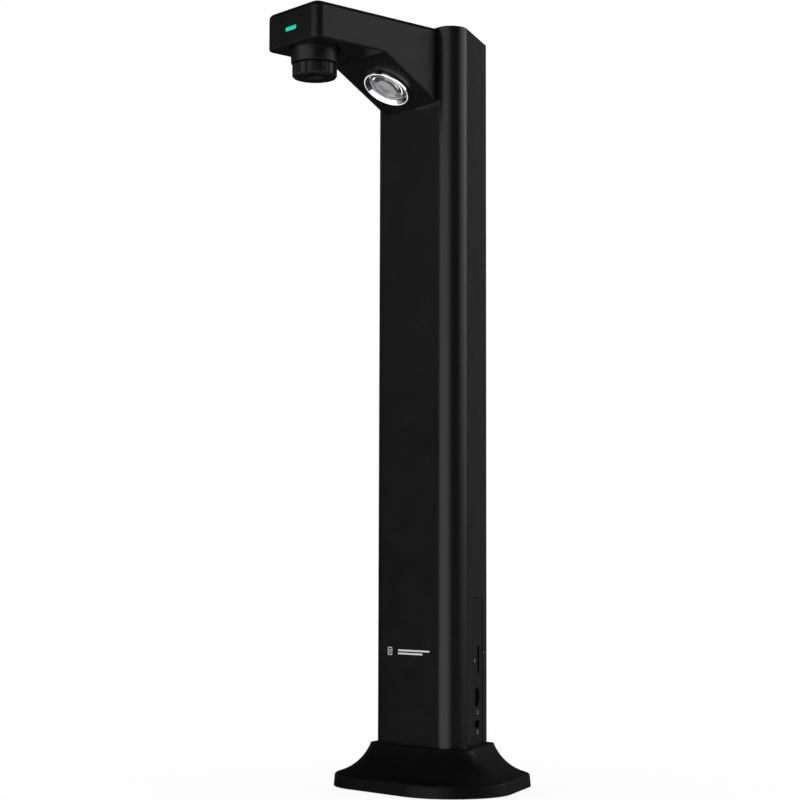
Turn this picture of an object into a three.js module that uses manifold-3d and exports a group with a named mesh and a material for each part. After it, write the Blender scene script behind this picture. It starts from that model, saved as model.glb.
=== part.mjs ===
// A desktop document camera: a tall column on a flared, weighted base, with a fixed arm at its top.
// The arm carries a lens barrel with a turning focus ring, a status light, and a round lamp on its
// slanted underside.
// Millimetres, +Z up, front towards -Y. The origin is the middle of the bounding box, on the desk.
import * as THREE from "three";
import { mergeVertices } from "three/addons/utils/BufferGeometryUtils.js";
import Module from "manifold-3d";

const wasm = await Module();
wasm.setup();

// ---- Driving dimensions ----
const HEIGHT = 370; // desk to the top of the column
const WALL = 2.2; // column shells
const GAP = 0.3; // between neighbouring pieces
const SEAM = 0.2; // visible parting line between two shells

const COLUMN_FLAT_HALF = 20.3; // half of the flat front
const COLUMN_DEPTH = 41.3;
const FRONT_CORNER_R = 8.3;
const BACK_CORNER_R = 1.4;
const SIDE_TAPER = Math.PI / 6; // each side turns in by this much towards the back

const ARM_REACH = 75.5; // column front to arm front
const ARM_HALF = 19.5;
const ARM_TOP = HEIGHT - 0.8;
const ARM_DEPTH = 17.1; // top to flat underside
const ARM_WALL = 1.6;
const ARM_CORNER_R = 4.1;
const BEND_REACH = 33.7; // column front to where the underside starts to slant
const SLANT_FOOT = 332.7; // height where the slanted underside meets the column

const BASE_FLARE = 21.6; // how far the base's rim stands out from the column
const BASE_TOP = 21.3;
const BASE_WALL = 1.9;

const LENS_REACH = 60.85; // column front to the optical axis
const LAMP_ALONG = 21.35; // bend to the lamp's centre, down the slant

// ---- Worked out from them ----
const FRONT = (ARM_REACH - COLUMN_DEPTH - BASE_FLARE) / 2; // y of the column's front face
const BACK = FRONT + COLUMN_DEPTH;
const ARM_FRONT = FRONT - ARM_REACH;
const ARM_UNDER = ARM_TOP - ARM_DEPTH;
const BEND_Y = FRONT - BEND_REACH;
const SLANT = Math.atan2(ARM_UNDER - SLANT_FOOT, BEND_REACH);
const LENS_Y = FRONT - LENS_REACH;

// The side faces start where the front corners' arcs end.
const frontCorner = new THREE.Vector2(COLUMN_FLAT_HALF, FRONT + FRONT_CORNER_R);
const sideStart = new THREE.Vector2(
  frontCorner.x + FRONT_CORNER_R * Math.cos(SIDE_TAPER),
  frontCorner.y + FRONT_CORNER_R * Math.sin(SIDE_TAPER),
);
// The point that lies this far inside both the side face and the back face.
function insideBackCorner(inside) {
  const y = BACK - inside;
  const along = (y - sideStart.y) * Math.sin(SIDE_TAPER);
  return new THREE.Vector2(sideStart.x - (inside + along) / Math.cos(SIDE_TAPER), y);
}

// ---- Materials ----
const plain = (color, roughness, metalness = 0) =>
  new THREE.MeshStandardMaterial({ color, roughness, metalness });
const blackPlastic = plain(0x1a1a1c, 0.42);
const basePlastic = plain(0x0e0e10, 0.5);
const panelPlastic = plain(0x161618, 0.6);
const lensPlastic = plain(0x121214, 0.45);
const blackRubber = plain(0x101010, 0.9);
const steel = plain(0x8d9095, 0.4, 1);
const screwSteel = plain(0x2b2b2e, 0.45, 1);
const aluminium = plain(0xb9bcc0, 0.35, 1);
const chrome = plain(0xe8e8ea, 0.08, 1);
const boardGreen = plain(0x1c4a2c, 0.5);
const chipBlack = plain(0x151515, 0.55);
const brass = plain(0xb08a45, 0.35, 1);
const ribbonWhite = plain(0xd8d8d2, 0.5);
const leadBlack = plain(0x141414, 0.6);
const ledYellow = plain(0xe8d88a, 0.3);
const statusGreen = plain(0x19d3a2, 0.3);
const clearGlass = new THREE.MeshStandardMaterial({
  color: 0xdfe6ea,
  roughness: 0.05,
  transparent: true,
  opacity: 0.4,
});

// ---- Solids: joining and cutting ----
function solidOf(geometry) {
  const bare = geometry.clone();
  bare.deleteAttribute("normal");
  bare.deleteAttribute("uv");
  const merged = mergeVertices(bare, 1e-4);
  return new wasm.Manifold(
    new wasm.Mesh({
      numProp: 3,
      vertProperties: merged.attributes.position.array,
      triVerts: new Uint32Array(merged.index.array),
    }),
  );
}

function geometryOf(solid) {
  const mesh = solid.getMesh();
  const geometry = new THREE.BufferGeometry();
  geometry.setAttribute("position", new THREE.BufferAttribute(mesh.vertProperties, 3));
  geometry.setIndex(new THREE.BufferAttribute(mesh.triVerts, 1));
  geometry.computeVertexNormals();
  return geometry;
}

const combine = (operation) => (body, ...others) =>
  geometryOf(others.reduce((made, other) => made[operation](solidOf(other)), solidOf(body)));
const cut = combine("subtract");
const join = combine("add");
const common = combine("intersect");

// ---- Shapes ----
function block(x0, x1, y0, y1, z0, z1) {
  const box = new THREE.BoxGeometry(x1 - x0, y1 - y0, z1 - z0);
  return box.translate((x0 + x1) / 2, (y0 + y1) / 2, (z0 + z1) / 2);
}

function prism(points, low, high) {
  const shape = new THREE.Shape(points);
  const made = new THREE.ExtrudeGeometry(shape, { depth: high - low, bevelEnabled: false });
  return made.translate(0, 0, low);
}

// An upright round bar, and the same lying along Y or X.
const post = (radius, low, high, sides = 16) =>
  new THREE.CylinderGeometry(radius, radius, high - low, sides)
    .rotateX(Math.PI / 2)
    .translate(0, 0, (low + high) / 2);
const barAlongY = (radius, y0, y1, sides = 16) =>
  new THREE.CylinderGeometry(radius, radius, y1 - y0, sides).translate(0, (y0 + y1) / 2, 0);
const barAlongX = (radius, x0, x1, sides = 16) =>
  new THREE.CylinderGeometry(radius, radius, x1 - x0, sides)
    .rotateZ(-Math.PI / 2)
    .translate((x0 + x1) / 2, 0, 0);

// A turned piece about Z, from a profile of [radius, height] points that starts and ends on the axis,
// or that closes on itself.
function turned(profile, sides = 24) {
  const points = profile.map(([r, z]) => new THREE.Vector2(r, z));
  const closed = profile[0][0] > 0;
  if (THREE.ShapeUtils.area(points) < 0) points.reverse();
  if (closed) points.push(points[0].clone());
  return new THREE.LatheGeometry(points, sides).rotateX(Math.PI / 2);
}

// A plate whose outline is drawn in the Y-Z plane and that runs from x0 to x1.
const AXIS_X = new THREE.Vector3(1, 0, 0);
const AXIS_Y = new THREE.Vector3(0, 1, 0);
const AXIS_Z = new THREE.Vector3(0, 0, 1);
const SIDEWAYS = new THREE.Matrix4().makeBasis(AXIS_Y, AXIS_Z, AXIS_X);
const sidePlate = (outline, x0, x1) =>
  prism(outline.map(([y, z]) => new THREE.Vector2(y, z)), x0, x1).applyMatrix4(SIDEWAYS);

function arcPoints(centre, radius, from, to, steps) {
  const points = [];
  for (let i = 0; i <= steps; i++) {
    const angle = from + ((to - from) * i) / steps;
    points.push(
      new THREE.Vector2(centre.x + radius * Math.cos(angle), centre.y + radius * Math.sin(angle)),
    );
  }
  return points;
}

const mirrored = (points) => points.map((p) => new THREE.Vector2(-p.x, p.y)).reverse();

// The column's plan, grown outwards: flat front, round front corners, tapering sides, narrow back.
const FRONT_STEPS = 8;
const BACK_STEPS = 4;
const SHARPEST_R = 0.2;
function columnPlan(grow = 0) {
  const backR = Math.max(BACK_CORNER_R + grow, SHARPEST_R);
  const right = [
    ...arcPoints(frontCorner, FRONT_CORNER_R + grow, -Math.PI / 2, SIDE_TAPER, FRONT_STEPS),
    ...arcPoints(insideBackCorner(backR - grow), backR, SIDE_TAPER, Math.PI / 2, BACK_STEPS),
  ];
  return [...right, ...mirrored(right)];
}

// The arm's plan: a rectangle with two round corners at the front, running back to the column.
function armPlan(inset, backY) {
  const radius = ARM_CORNER_R - inset;
  const corner = new THREE.Vector2(ARM_HALF - ARM_CORNER_R, ARM_FRONT + ARM_CORNER_R);
  const right = [
    ...arcPoints(corner, radius, -Math.PI / 2, 0, 6),
    new THREE.Vector2(ARM_HALF - inset, backY),
  ];
  return [...right, ...mirrored(right)];
}

// A closed body through copies of the column's plan, from the lowest level to the highest.
function planLoft(levels) {
  const rings = levels.map(([grow]) => columnPlan(grow));
  const count = rings[0].length;
  const positions = rings.flatMap((ring, i) => ring.flatMap((p) => [p.x, p.y, levels[i][1]]));
  const index = [];
  for (let i = 0; i + 1 < rings.length; i++) {
    for (let j = 0; j < count; j++) {
      const a = i * count + j;
      const b = i * count + ((j + 1) % count);
      index.push(a, b, b + count, a, b + count, a + count);
    }
  }
  const last = (rings.length - 1) * count;
  for (const [a, b, c] of THREE.ShapeUtils.triangulateShape(rings[0], [])) index.push(a, c, b);
  for (const [a, b, c] of THREE.ShapeUtils.triangulateShape(rings[rings.length - 1], []))
    index.push(last + a, last + b, last + c);
  const geometry = new THREE.BufferGeometry();
  geometry.setAttribute("position", new THREE.Float32BufferAttribute(positions, 3));
  geometry.setIndex(index);
  return geometry;
}

// ---- The assembly: nested groups, one mesh a piece ----
const camera = new THREE.Group();

function add(name, geometry, material, parent = camera) {
  const mesh = new THREE.Mesh(geometry, material);
  mesh.name = name;
  parent.add(mesh);
  return mesh;
}

// A pan-head screw along +Z: head below, shank above.
function screw(headR, headH, shankR, length) {
  const tip = headH + length;
  return turned([[0, 0], [headR, 0], [headR, headH], [shankR, headH], [shankR, tip], [0, tip]], 12);
}

// ---- Base ----
const PLATE_LOW = 1.3;
const PLATE_HIGH = 3.3;
const BALLAST_LOW = 3.7;
const BALLAST_HIGH = 7.7;
const RIM_LOW = 0.35;
const RIM_HIGH = 5.5;
const RIM_LEAN = 0.5; // how far the rim's band leans in
const COLUMN_FOOT = BALLAST_HIGH + 0.4;
const FLARE_R = 24.2; // concave sweep from collar to rim
const FLARE_CENTRE = [25.8, 30.3]; // [outwards from the column, height]
const FLARE_FROM = THREE.MathUtils.degToRad(23);
const FLARE_TO = THREE.MathUtils.degToRad(77.5);
const COLLAR = 2.8; // how far the collar stands out from the column

function flareLevels(steps) {
  const levels = [];
  for (let i = 0; i <= steps; i++) {
    const angle = FLARE_TO + ((FLARE_FROM - FLARE_TO) * i) / steps;
    levels.push([
      FLARE_CENTRE[0] - FLARE_R * Math.cos(angle),
      FLARE_CENTRE[1] - FLARE_R * Math.sin(angle),
    ]);
  }
  return levels;
}

const footSpots = {
  front_left: [-33, 2],
  front_right: [33, 2],
  rear_left: [-17, 56],
  rear_right: [17, 56],
};
const baseScrewSpots = { 1: [-20, 2], 2: [20, 2], 3: [-13, 47], 4: [13, 47] };
const spineBoltSpots = { left: [-14, 24], right: [14, 24] };
const at = (geometry, [x, y], z = 0) => geometry.clone().translate(x, y, z);

function buildBase() {
  const outer = planLoft([
    [BASE_FLARE, RIM_LOW],
    [BASE_FLARE - RIM_LEAN, RIM_HIGH],
    [BASE_FLARE - RIM_LEAN - 0.3, RIM_HIGH + 0.8],
    ...flareLevels(7),
    [COLLAR, BASE_TOP],
  ]);
  const hollow = planLoft([
    [BASE_FLARE - BASE_WALL, -1],
    [BASE_FLARE - BASE_WALL - RIM_LEAN, RIM_HIGH - BASE_WALL],
    ...flareLevels(5).map(([out, z]) => [out - BASE_WALL, z - BASE_WALL]),
  ]);
  const sleeve = prism(columnPlan(2), 9.5, BASE_TOP);
  const socket = prism(columnPlan(GAP), -2, BASE_TOP + 1);
  add("base_cover", cut(outer, cut(hollow, sleeve), socket), basePlastic);

  const screwHole = post(1.7, 0, 20, 12);
  const headHole = post(3, 0, PLATE_LOW + 1.6, 12);
  const boltHole = post(2.3, 0, 20, 12);
  const boltHeadHole = post(3.9, 0, BALLAST_LOW + 2.3, 12);
  const screws = Object.values(baseScrewSpots);
  const bolts = Object.values(spineBoltSpots);
  add(
    "base_bottom_plate",
    cut(
      prism(columnPlan(BASE_FLARE - BASE_WALL - 0.8), PLATE_LOW, PLATE_HIGH),
      ...screws.flatMap((spot) => [at(screwHole, spot), at(headHole, spot)]),
    ),
    basePlastic,
  );
  add(
    "base_ballast",
    cut(
      prism(columnPlan(10.5), BALLAST_LOW, BALLAST_HIGH),
      ...screws.map((spot) => at(screwHole, spot)),
      ...bolts.flatMap((spot) => [at(boltHole, spot), at(boltHeadHole, spot)]),
    ),
    steel,
  );
  for (const [where, spot] of Object.entries(footSpots))
    add(`foot_${where}`, turned([[0, 0], [5.9, 0], [6.5, 0.6], [6.5, 1.2], [0, 1.2]], 20), blackRubber)
      .position.set(...spot, 0);
  const plateScrew = screw(2.7, 1.3, 1.4, 4.2);
  for (const [number, spot] of Object.entries(baseScrewSpots))
    add(`base_screw_${number}`, plateScrew, screwSteel).position.set(...spot, PLATE_LOW + 0.2);
  for (const [side, spot] of Object.entries(spineBoltSpots))
    add(`spine_bolt_${side}`, screw(3.5, 2, 1.9, 3.6), steel).position.set(...spot, BALLAST_LOW + 0.2);
  add(
    "spine_foot",
    cut(prism(columnPlan(-3), COLUMN_FOOT, COLUMN_FOOT + 2), ...bolts.map((spot) => at(boltHole, spot))),
    steel,
  );
}

// ---- Column ----
const WEB_FRONT = 22; // y of the steel channel's web
const CHANNEL_HALF = 11;
const SHEET = 1.2; // steel channel and bracket
const SPINE_TOP = 350;
const REAR_SCREW_HEIGHTS = [110, 195, 280, 342];
const WINDOW = { halfX: 13.5, low: 338, high: 367 }; // in the front shell, behind the arm

// Ports: a frame on the right side face, x out of the face, y towards the back, z up.
const PANEL = { y0: 7.6, y1: 28, z0: 15.8, z1: 92.2 };
const CARD_SLOT = { y: 18.9, z: 62.15, thick: 2.2, tall: 13.05 };
const POWER_HOLE = { y: 17.1, z: 44.7, radius: 4.3 };
const USB_HOLE = { y: 17.3, z: 31.4, wide: 7.8, tall: 3.1 };
const ports = new THREE.Group();
ports.position.set(sideStart.x, sideStart.y, 0);
ports.rotation.z = SIDE_TAPER;
ports.updateMatrix();
camera.add(ports);

function buildColumn() {
  const ring = cut(
    prism(columnPlan(), COLUMN_FOOT, HEIGHT),
    prism(columnPlan(-WALL), COLUMN_FOOT - 1, HEIGHT + 1),
  );
  const seamY = sideStart.y;
  const wide = 60;
  const frontHalf = block(-wide, wide, FRONT - 5, seamY - SEAM / 2, 0, HEIGHT + 5);
  const rearHalf = block(-wide, wide, seamY + SEAM / 2, BACK + 5, 0, HEIGHT + 5);
  const armWindow = block(-WINDOW.halfX, WINDOW.halfX, FRONT - 2, FRONT + 5, WINDOW.low, WINDOW.high);
  add("column_front_shell", cut(common(ring, frontHalf), armWindow), blackPlastic);

  const wallInside = BACK - WALL;
  const bosses = REAR_SCREW_HEIGHTS.map((z) =>
    barAlongY(3.4, WEB_FRONT + SHEET + GAP, wallInside + 0.2, 12).translate(0, 0, z),
  );
  const screwHoles = REAR_SCREW_HEIGHTS.map((z) => barAlongY(1.6, 0, BACK + 5, 12).translate(0, 0, z));
  const headHoles = REAR_SCREW_HEIGHTS.map((z) => barAlongY(3, BACK - 3.6, BACK + 5, 12).translate(0, 0, z));
  const portWindow = block(-6, 3, PANEL.y0, PANEL.y1, PANEL.z0, PANEL.z1).applyMatrix4(ports.matrix);
  add(
    "column_rear_shell",
    cut(join(common(ring, rearHalf), ...bosses), ...screwHoles, ...headHoles, portWindow),
    blackPlastic,
  );
  REAR_SCREW_HEIGHTS.forEach((z, i) => {
    const mesh = add(`rear_screw_${i + 1}`, screw(2.7, 1.8, 1.25, 22.6), screwSteel);
    mesh.position.set(0, BACK - 1.6, z);
    mesh.rotation.x = Math.PI / 2;
  });
  add("column_top_cap", prism(columnPlan(-WALL - GAP), HEIGHT - 1.9, HEIGHT - 0.1), blackPlastic);

  const low = COLUMN_FOOT + 2 + GAP;
  const webBack = WEB_FRONT + SHEET;
  const channel = cut(
    block(-CHANNEL_HALF, CHANNEL_HALF, FRONT + WALL + 2, webBack, low, SPINE_TOP),
    block(-CHANNEL_HALF + SHEET, CHANNEL_HALF - SHEET, 0, WEB_FRONT, low - 1, SPINE_TOP + 1),
  );
  const boltHole = barAlongX(1.7, -20, 20, 12).translate(0, 17, 342);
  add("column_spine", cut(channel, boltHole, ...screwHoles), steel);
}

// ---- Ports and main board, inside the ports frame ----
function buildPorts() {
  const edge = GAP;
  const lip = 1.5;
  const { y0, y1, z0, z1 } = PANEL;
  const face = -0.25; // a touch below the column's surface
  const plate = block(-3.7, face, y0 + edge, y1 - edge, z0 + edge, z1 - edge);
  const flange = block(-3.7, -WALL - GAP, y0 - lip, y1 + lip, z0 - lip, z1 + lip);
  const pocket = block(-5, -1.75, y0 + lip, y1 - lip, z0 + lip, z1 - lip);
  const slot = (hole, wide, tall) =>
    block(-6, 1, hole.y - wide / 2, hole.y + wide / 2, hole.z - tall / 2, hole.z + tall / 2);
  add(
    "ports_panel",
    cut(
      join(plate, flange),
      pocket,
      slot(CARD_SLOT, CARD_SLOT.thick, CARD_SLOT.tall),
      slot(USB_HOLE, USB_HOLE.wide, USB_HOLE.tall),
      barAlongX(POWER_HOLE.radius, -6, 1, 24).translate(0, POWER_HOLE.y, POWER_HOLE.z),
    ),
    panelPlastic,
    ports,
  );

  const boardFace = 21.4;
  const socketFront = -2.1;
  add("main_board", block(-24, -4.2, boardFace, boardFace + 1.6, 22, 96), boardGreen, ports);
  add("processor_chip", block(-20, -8, boardFace + 1.8, boardFace + 3.2, 58, 70), chipBlack, ports);

  const jackY = POWER_HOLE.y;
  const jackZ = POWER_HOLE.z;
  const throughJack = barAlongX(1.2, -20, 0, 12).translate(0, jackY, jackZ);
  const jackMouth = barAlongX(3.1, -11.5, 0, 20).translate(0, jackY, jackZ);
  add(
    "dc_jack",
    cut(block(-13.3, socketFront, jackY - 4, jackY + 4, jackZ - 4.5, jackZ + 4.5), jackMouth, throughJack),
    chipBlack,
    ports,
  );
  add("dc_jack_pin", barAlongX(1, -13.1, -3.4, 12).translate(0, jackY, jackZ), brass, ports);

  const shell = (y, z, wide, tall, back, wall) =>
    cut(
      block(back, socketFront, y - wide / 2, y + wide / 2, z - tall / 2, z + tall / 2),
      block(back + 1, 1, y - wide / 2 + wall, y + wide / 2 - wall, z - tall / 2 + wall, z + tall / 2 - wall),
    );
  add("micro_usb_socket", shell(USB_HOLE.y, USB_HOLE.z, 7.5, 2.8, -8, 0.35), steel, ports);
  add(
    "micro_usb_tongue",
    block(-6.7, -3, USB_HOLE.y - 1.9, USB_HOLE.y + 1.9, USB_HOLE.z - 0.3, USB_HOLE.z + 0.3),
    chipBlack,
    ports,
  );
  add("card_socket", shell(CARD_SLOT.y + 0.4, CARD_SLOT.z, 3, 14.4, -17, 0.5), steel, ports);
}

// ---- Cables held inside the column ----
function buildCables() {
  const left = -10;
  const right = -4;
  const thick = 0.5;
  const spineBack = 24.6;
  const overSpine = SPINE_TOP + 4;
  const underBracket = 361.7;
  add(
    "camera_ribbon",
    sidePlate(
      [
        [spineBack, 98],
        [spineBack + thick, 98],
        [spineBack + thick, overSpine],
        [18, underBracket + thick],
        [-34, underBracket + thick],
        [-37, 361.55],
        [-43, 361.55],
        [-43, 361.55 - thick],
        [-37.2, 361.55 - thick],
        [-34.2, underBracket],
        [17.6, underBracket],
        [spineBack, overSpine - 0.3],
      ],
      left,
      right,
    ),
    ribbonWhite,
  );

  const route = new THREE.CatmullRomCurve3(
    [
      [7, 26.5, 98],
      [7, 26.5, 180],
      [7, 26.5, 270],
      [7, 26.5, 345],
      [7, 22, 354],
      [7, 14, 355],
      [7, 6, 351.5],
      [7, 3.4, 349.2],
    ].map((p) => new THREE.Vector3(...p)),
    false,
    "centripetal",
  );
  const sides = 8;
  const section = arcPoints(new THREE.Vector2(), 1.1, 0, 2 * Math.PI * (1 - 1 / sides), sides - 1);
  add(
    "lamp_lead",
    new THREE.ExtrudeGeometry(new THREE.Shape(section), { steps: 24, extrudePath: route }),
    leadBlack,
  );
}

// ---- Arm ----
const BRACKET_LOW = 363.5;
const STATUS = { z: 359.7, half: 4.35, thick: 2.3 };
const MIC = { x: 7.55, z: 364.55 };
const armShellScrewSpots = { front: [0, -34], rear: [0, -2] };

// The underside's line in the Y-Z plane, raised square to itself by lift.
function undersideLine(lift, frontY, backY) {
  const z = ARM_UNDER + lift;
  const bendY = BEND_Y + lift * Math.tan(SLANT / 2);
  const drop = (backY - bendY) * Math.tan(SLANT);
  return [[frontY, z], [bendY, z], [backY, z - drop]];
}

const lamp = new THREE.Group(); // z into the arm, square to the slanted underside
lamp.position.set(
  0,
  BEND_Y + LAMP_ALONG * Math.cos(SLANT),
  ARM_UNDER - LAMP_ALONG * Math.sin(SLANT),
);
lamp.rotation.x = -SLANT;
lamp.updateMatrix();
camera.add(lamp);

function buildArm() {
  const backY = FRONT - GAP;
  const top = ARM_TOP - ARM_WALL;
  const frontInside = ARM_FRONT + ARM_WALL;
  const outline = [...undersideLine(0, ARM_FRONT - 1, backY), [backY, ARM_TOP], [ARM_FRONT - 1, ARM_TOP]];
  const outer = common(
    prism(armPlan(0, backY), SLANT_FOOT - 5, ARM_TOP),
    sidePlate(outline, -ARM_HALF - 1, ARM_HALF + 1),
  );
  const inside = prism(armPlan(ARM_WALL, FRONT + 5), SLANT_FOOT - 10, top);
  const bosses = Object.values(armShellScrewSpots).map((spot) =>
    at(post(2.6, BRACKET_LOW + 1.8, top + 0.2, 12), spot),
  );
  const bossHoles = Object.values(armShellScrewSpots).map((spot) => at(post(1.4, 360, top, 12), spot));
  const pill = pillShape(STATUS.half + 0.15, STATUS.thick / 2 + 0.15);
  const statusHole = pillBar(pill, ARM_FRONT - 2, frontInside + 2);
  const micHoles = [-1, 1].map((side) =>
    barAlongY(0.5, ARM_FRONT - 2, frontInside + 2, 8).translate(side * MIC.x, 0, MIC.z),
  );
  add(
    "arm_upper_shell",
    cut(join(cut(outer, inside), ...bosses), ...bossHoles, statusHole, ...micHoles),
    blackPlastic,
  );

  const coverInset = ARM_WALL + 0.15;
  const lower = undersideLine(0, ARM_FRONT, backY);
  const upper = undersideLine(ARM_WALL, ARM_FRONT, backY).reverse();
  add(
    "arm_lower_cover",
    cut(
      common(
        sidePlate([...lower, ...upper], -ARM_HALF, ARM_HALF),
        prism(armPlan(coverInset, backY), SLANT_FOOT - 10, ARM_TOP),
      ),
      at(post(12.1, ARM_UNDER - 5, ARM_UNDER + 5, 32), [0, LENS_Y]),
      post(11.3, -5, 8, 32).applyMatrix4(lamp.matrix),
    ),
    blackPlastic,
  );
}

// A pill outline in the X-Z plane about the status light's height, and a bar of it along Y.
function pillShape(half, radius) {
  const right = new THREE.Vector2(half - radius, 0);
  const left = new THREE.Vector2(radius - half, 0);
  return [
    ...arcPoints(right, radius, -Math.PI / 2, Math.PI / 2, 6),
    ...arcPoints(left, radius, Math.PI / 2, 1.5 * Math.PI, 6),
  ];
}
const pillBar = (points, y0, y1) =>
  prism(points, -y1, -y0).rotateX(Math.PI / 2).translate(0, 0, STATUS.z);

function buildBracket() {
  const tabFront = 12;
  const tabBack = WEB_FRONT + SHEET;
  const tabIn = CHANNEL_HALF + GAP;
  const tabOut = tabIn + SHEET;
  const high = BRACKET_LOW + SHEET;
  const plate = block(-tabOut, tabOut, LENS_Y - 6, tabBack, BRACKET_LOW, high);
  const tabMiddle = (tabIn + tabOut) / 2;
  const tab = block(-SHEET / 2, SHEET / 2, tabFront, tabBack, 336, high);
  const tabs = [-1, 1].map((side) => tab.clone().translate(side * tabMiddle, 0, 0));
  const standoffs = [-1, 1].map((side) => at(post(1.6, 361, BRACKET_LOW + 0.2, 12), [side * 11, LENS_Y]));
  const holes = Object.values(armShellScrewSpots).map((spot) => at(post(1.5, 355, 370, 12), spot));
  const boltHole = barAlongX(1.7, -20, 20, 12).translate(0, 17, 342);
  add("arm_bracket", cut(join(plate, ...tabs, ...standoffs), ...holes, boltHole), steel);

  const shellScrew = screw(2.4, 1.2, 1.1, 3.6);
  for (const [where, spot] of Object.entries(armShellScrewSpots))
    add(`arm_screw_${where}`, shellScrew, screwSteel).position.set(...spot, BRACKET_LOW - 1.4);
  for (const [name, side] of [["left", -1], ["right", 1]]) {
    const bolt = add(`bracket_bolt_${name}`, screw(2.8, 1.6, 1.4, 3.8), screwSteel);
    bolt.position.set(side * (tabOut + 1.8), 17, 342);
    bolt.rotation.y = (-side * Math.PI) / 2;
  }
}

function buildStatusLight() {
  const inner = pillShape(STATUS.half, STATUS.thick / 2);
  const board = ARM_FRONT + 4.4;
  const led = block(-1.6, 1.6, board - 1, board - 0.1, STATUS.z - 0.8, STATUS.z + 0.8);
  const microphone = barAlongY(2, board - 2.2, board - 0.2, 14);
  add("status_light_pipe", pillBar(inner, ARM_FRONT, board - 1.2), statusGreen);
  add("status_led", led, ledYellow);
  add("status_board", block(-11, 11, board, board + 1.2, 355.9, 367), boardGreen);
  for (const [name, side] of [["left", -1], ["right", 1]])
    add(`microphone_${name}`, microphone.clone().translate(side * MIC.x, 0, MIC.z), aluminium);
}

// ---- Lens, about the optical axis ----
const RING_LOW = 338.2;
const RING_HIGH = 344.2;
const RING_R = 10.65;
const FLUTES = 18;
const BARREL_TOP = 355.4;
const CELL_LOW = 340; // the sliding lens cell's front rim
const FRONT_GLASS = CELL_LOW + 0.7;
const REAR_GLASS = CELL_LOW + 8.5;
const lens = new THREE.Group();
lens.position.set(0, LENS_Y, 0);
camera.add(lens);

// The focus ring's outline: FLUTES shallow grooves round a circle.
function flutedOutline(radius, depth, grooveShare) {
  const pitch = (2 * Math.PI) / FLUTES;
  const points = [];
  const groove = pitch * grooveShare;
  const land = pitch - groove;
  const flute = [
    [0, radius],
    [land / 2, radius],
    [land, radius],
    [land + groove / 2, radius - depth],
  ];
  for (let i = 0; i < FLUTES; i++)
    for (const [along, r] of flute) {
      const angle = i * pitch + along;
      points.push(new THREE.Vector2(r * Math.cos(angle), r * Math.sin(angle)));
    }
  return points;
}

function buildLens() {
  add(
    "lens_barrel",
    turned(
      [
        [5.4, RING_LOW + 3.6],
        [7.2, RING_LOW + 3.6],
        [7.2, RING_HIGH + 0.4],
        [11.35, RING_HIGH + 0.4],
        [11.6, ARM_UNDER + ARM_WALL],
        [11.6, ARM_UNDER + ARM_WALL + 0.2],
        [12.7, ARM_UNDER + ARM_WALL + 0.2],
        [12.7, BARREL_TOP],
        [9.9, BARREL_TOP],
        [9.9, RING_HIGH + 2],
        [7, RING_HIGH + 2],
        [7, BARREL_TOP],
        [5.4, BARREL_TOP],
      ],
      32,
    ),
    lensPlastic,
    lens,
  );

  const wide = RING_R + 0.1;
  const envelope = turned(
    [[0, RING_LOW], [10, RING_LOW], [wide, RING_LOW + 0.8], [wide, RING_HIGH], [0, RING_HIGH]],
    40,
  );
  const throat = RING_LOW + 1.6;
  const below = RING_LOW - 1;
  const recess = turned([[0, below], [9, below], [9, RING_LOW], [4.6, throat], [0, throat]], 32);
  const bore = join(
    post(4.6, throat - 0.6, throat + 2.4, 32),
    post(7.5, throat + 1.7, RING_HIGH + 1, 32),
  );
  add(
    "focus_ring",
    cut(common(prism(flutedOutline(RING_R, 0.5, 0.22), RING_LOW, RING_HIGH), envelope), recess, bore),
    lensPlastic,
    lens,
  );

  add(
    "lens_cell",
    turned(
      [
        [3.5, CELL_LOW],
        [4.2, CELL_LOW],
        [4.2, CELL_LOW + 4.9],
        [5.1, CELL_LOW + 5.1],
        [5.1, CELL_LOW + 13.1],
        [4.2, CELL_LOW + 13.1],
        [4.2, CELL_LOW + 7.1],
        [3.8, CELL_LOW + 7.1],
        [3.8, CELL_LOW + 0.4],
        [3.5, CELL_LOW + 0.4],
      ],
      24,
    ),
    lensPlastic,
    lens,
  );
  add(
    "front_lens",
    turned(
      [
        [0, FRONT_GLASS],
        [1.8, FRONT_GLASS + 0.1],
        [3.6, FRONT_GLASS + 0.5],
        [3.6, FRONT_GLASS + 2],
        [0, FRONT_GLASS + 1.8],
      ],
      24,
    ),
    clearGlass,
    lens,
  );
  add(
    "rear_lens",
    turned(
      [
        [0, REAR_GLASS],
        [2, REAR_GLASS + 0.2],
        [4, REAR_GLASS + 0.8],
        [4, REAR_GLASS + 2],
        [2, REAR_GLASS + 2.6],
        [0, REAR_GLASS + 2.8],
      ],
      24,
    ),
    clearGlass,
    lens,
  );
  add("lens_mount", cut(block(-9, 9, -8.5, 9, 355.7, 359), post(5.7, 350, 365, 24)), chipBlack, lens);
  add("image_sensor", block(-3.6, 3.6, -2.7, 2.7, 357.9, 359), chipBlack, lens);
  add("camera_board", block(-13, 13, -8.5, 15, 359.2, 360.8), boardGreen, lens);
}

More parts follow.
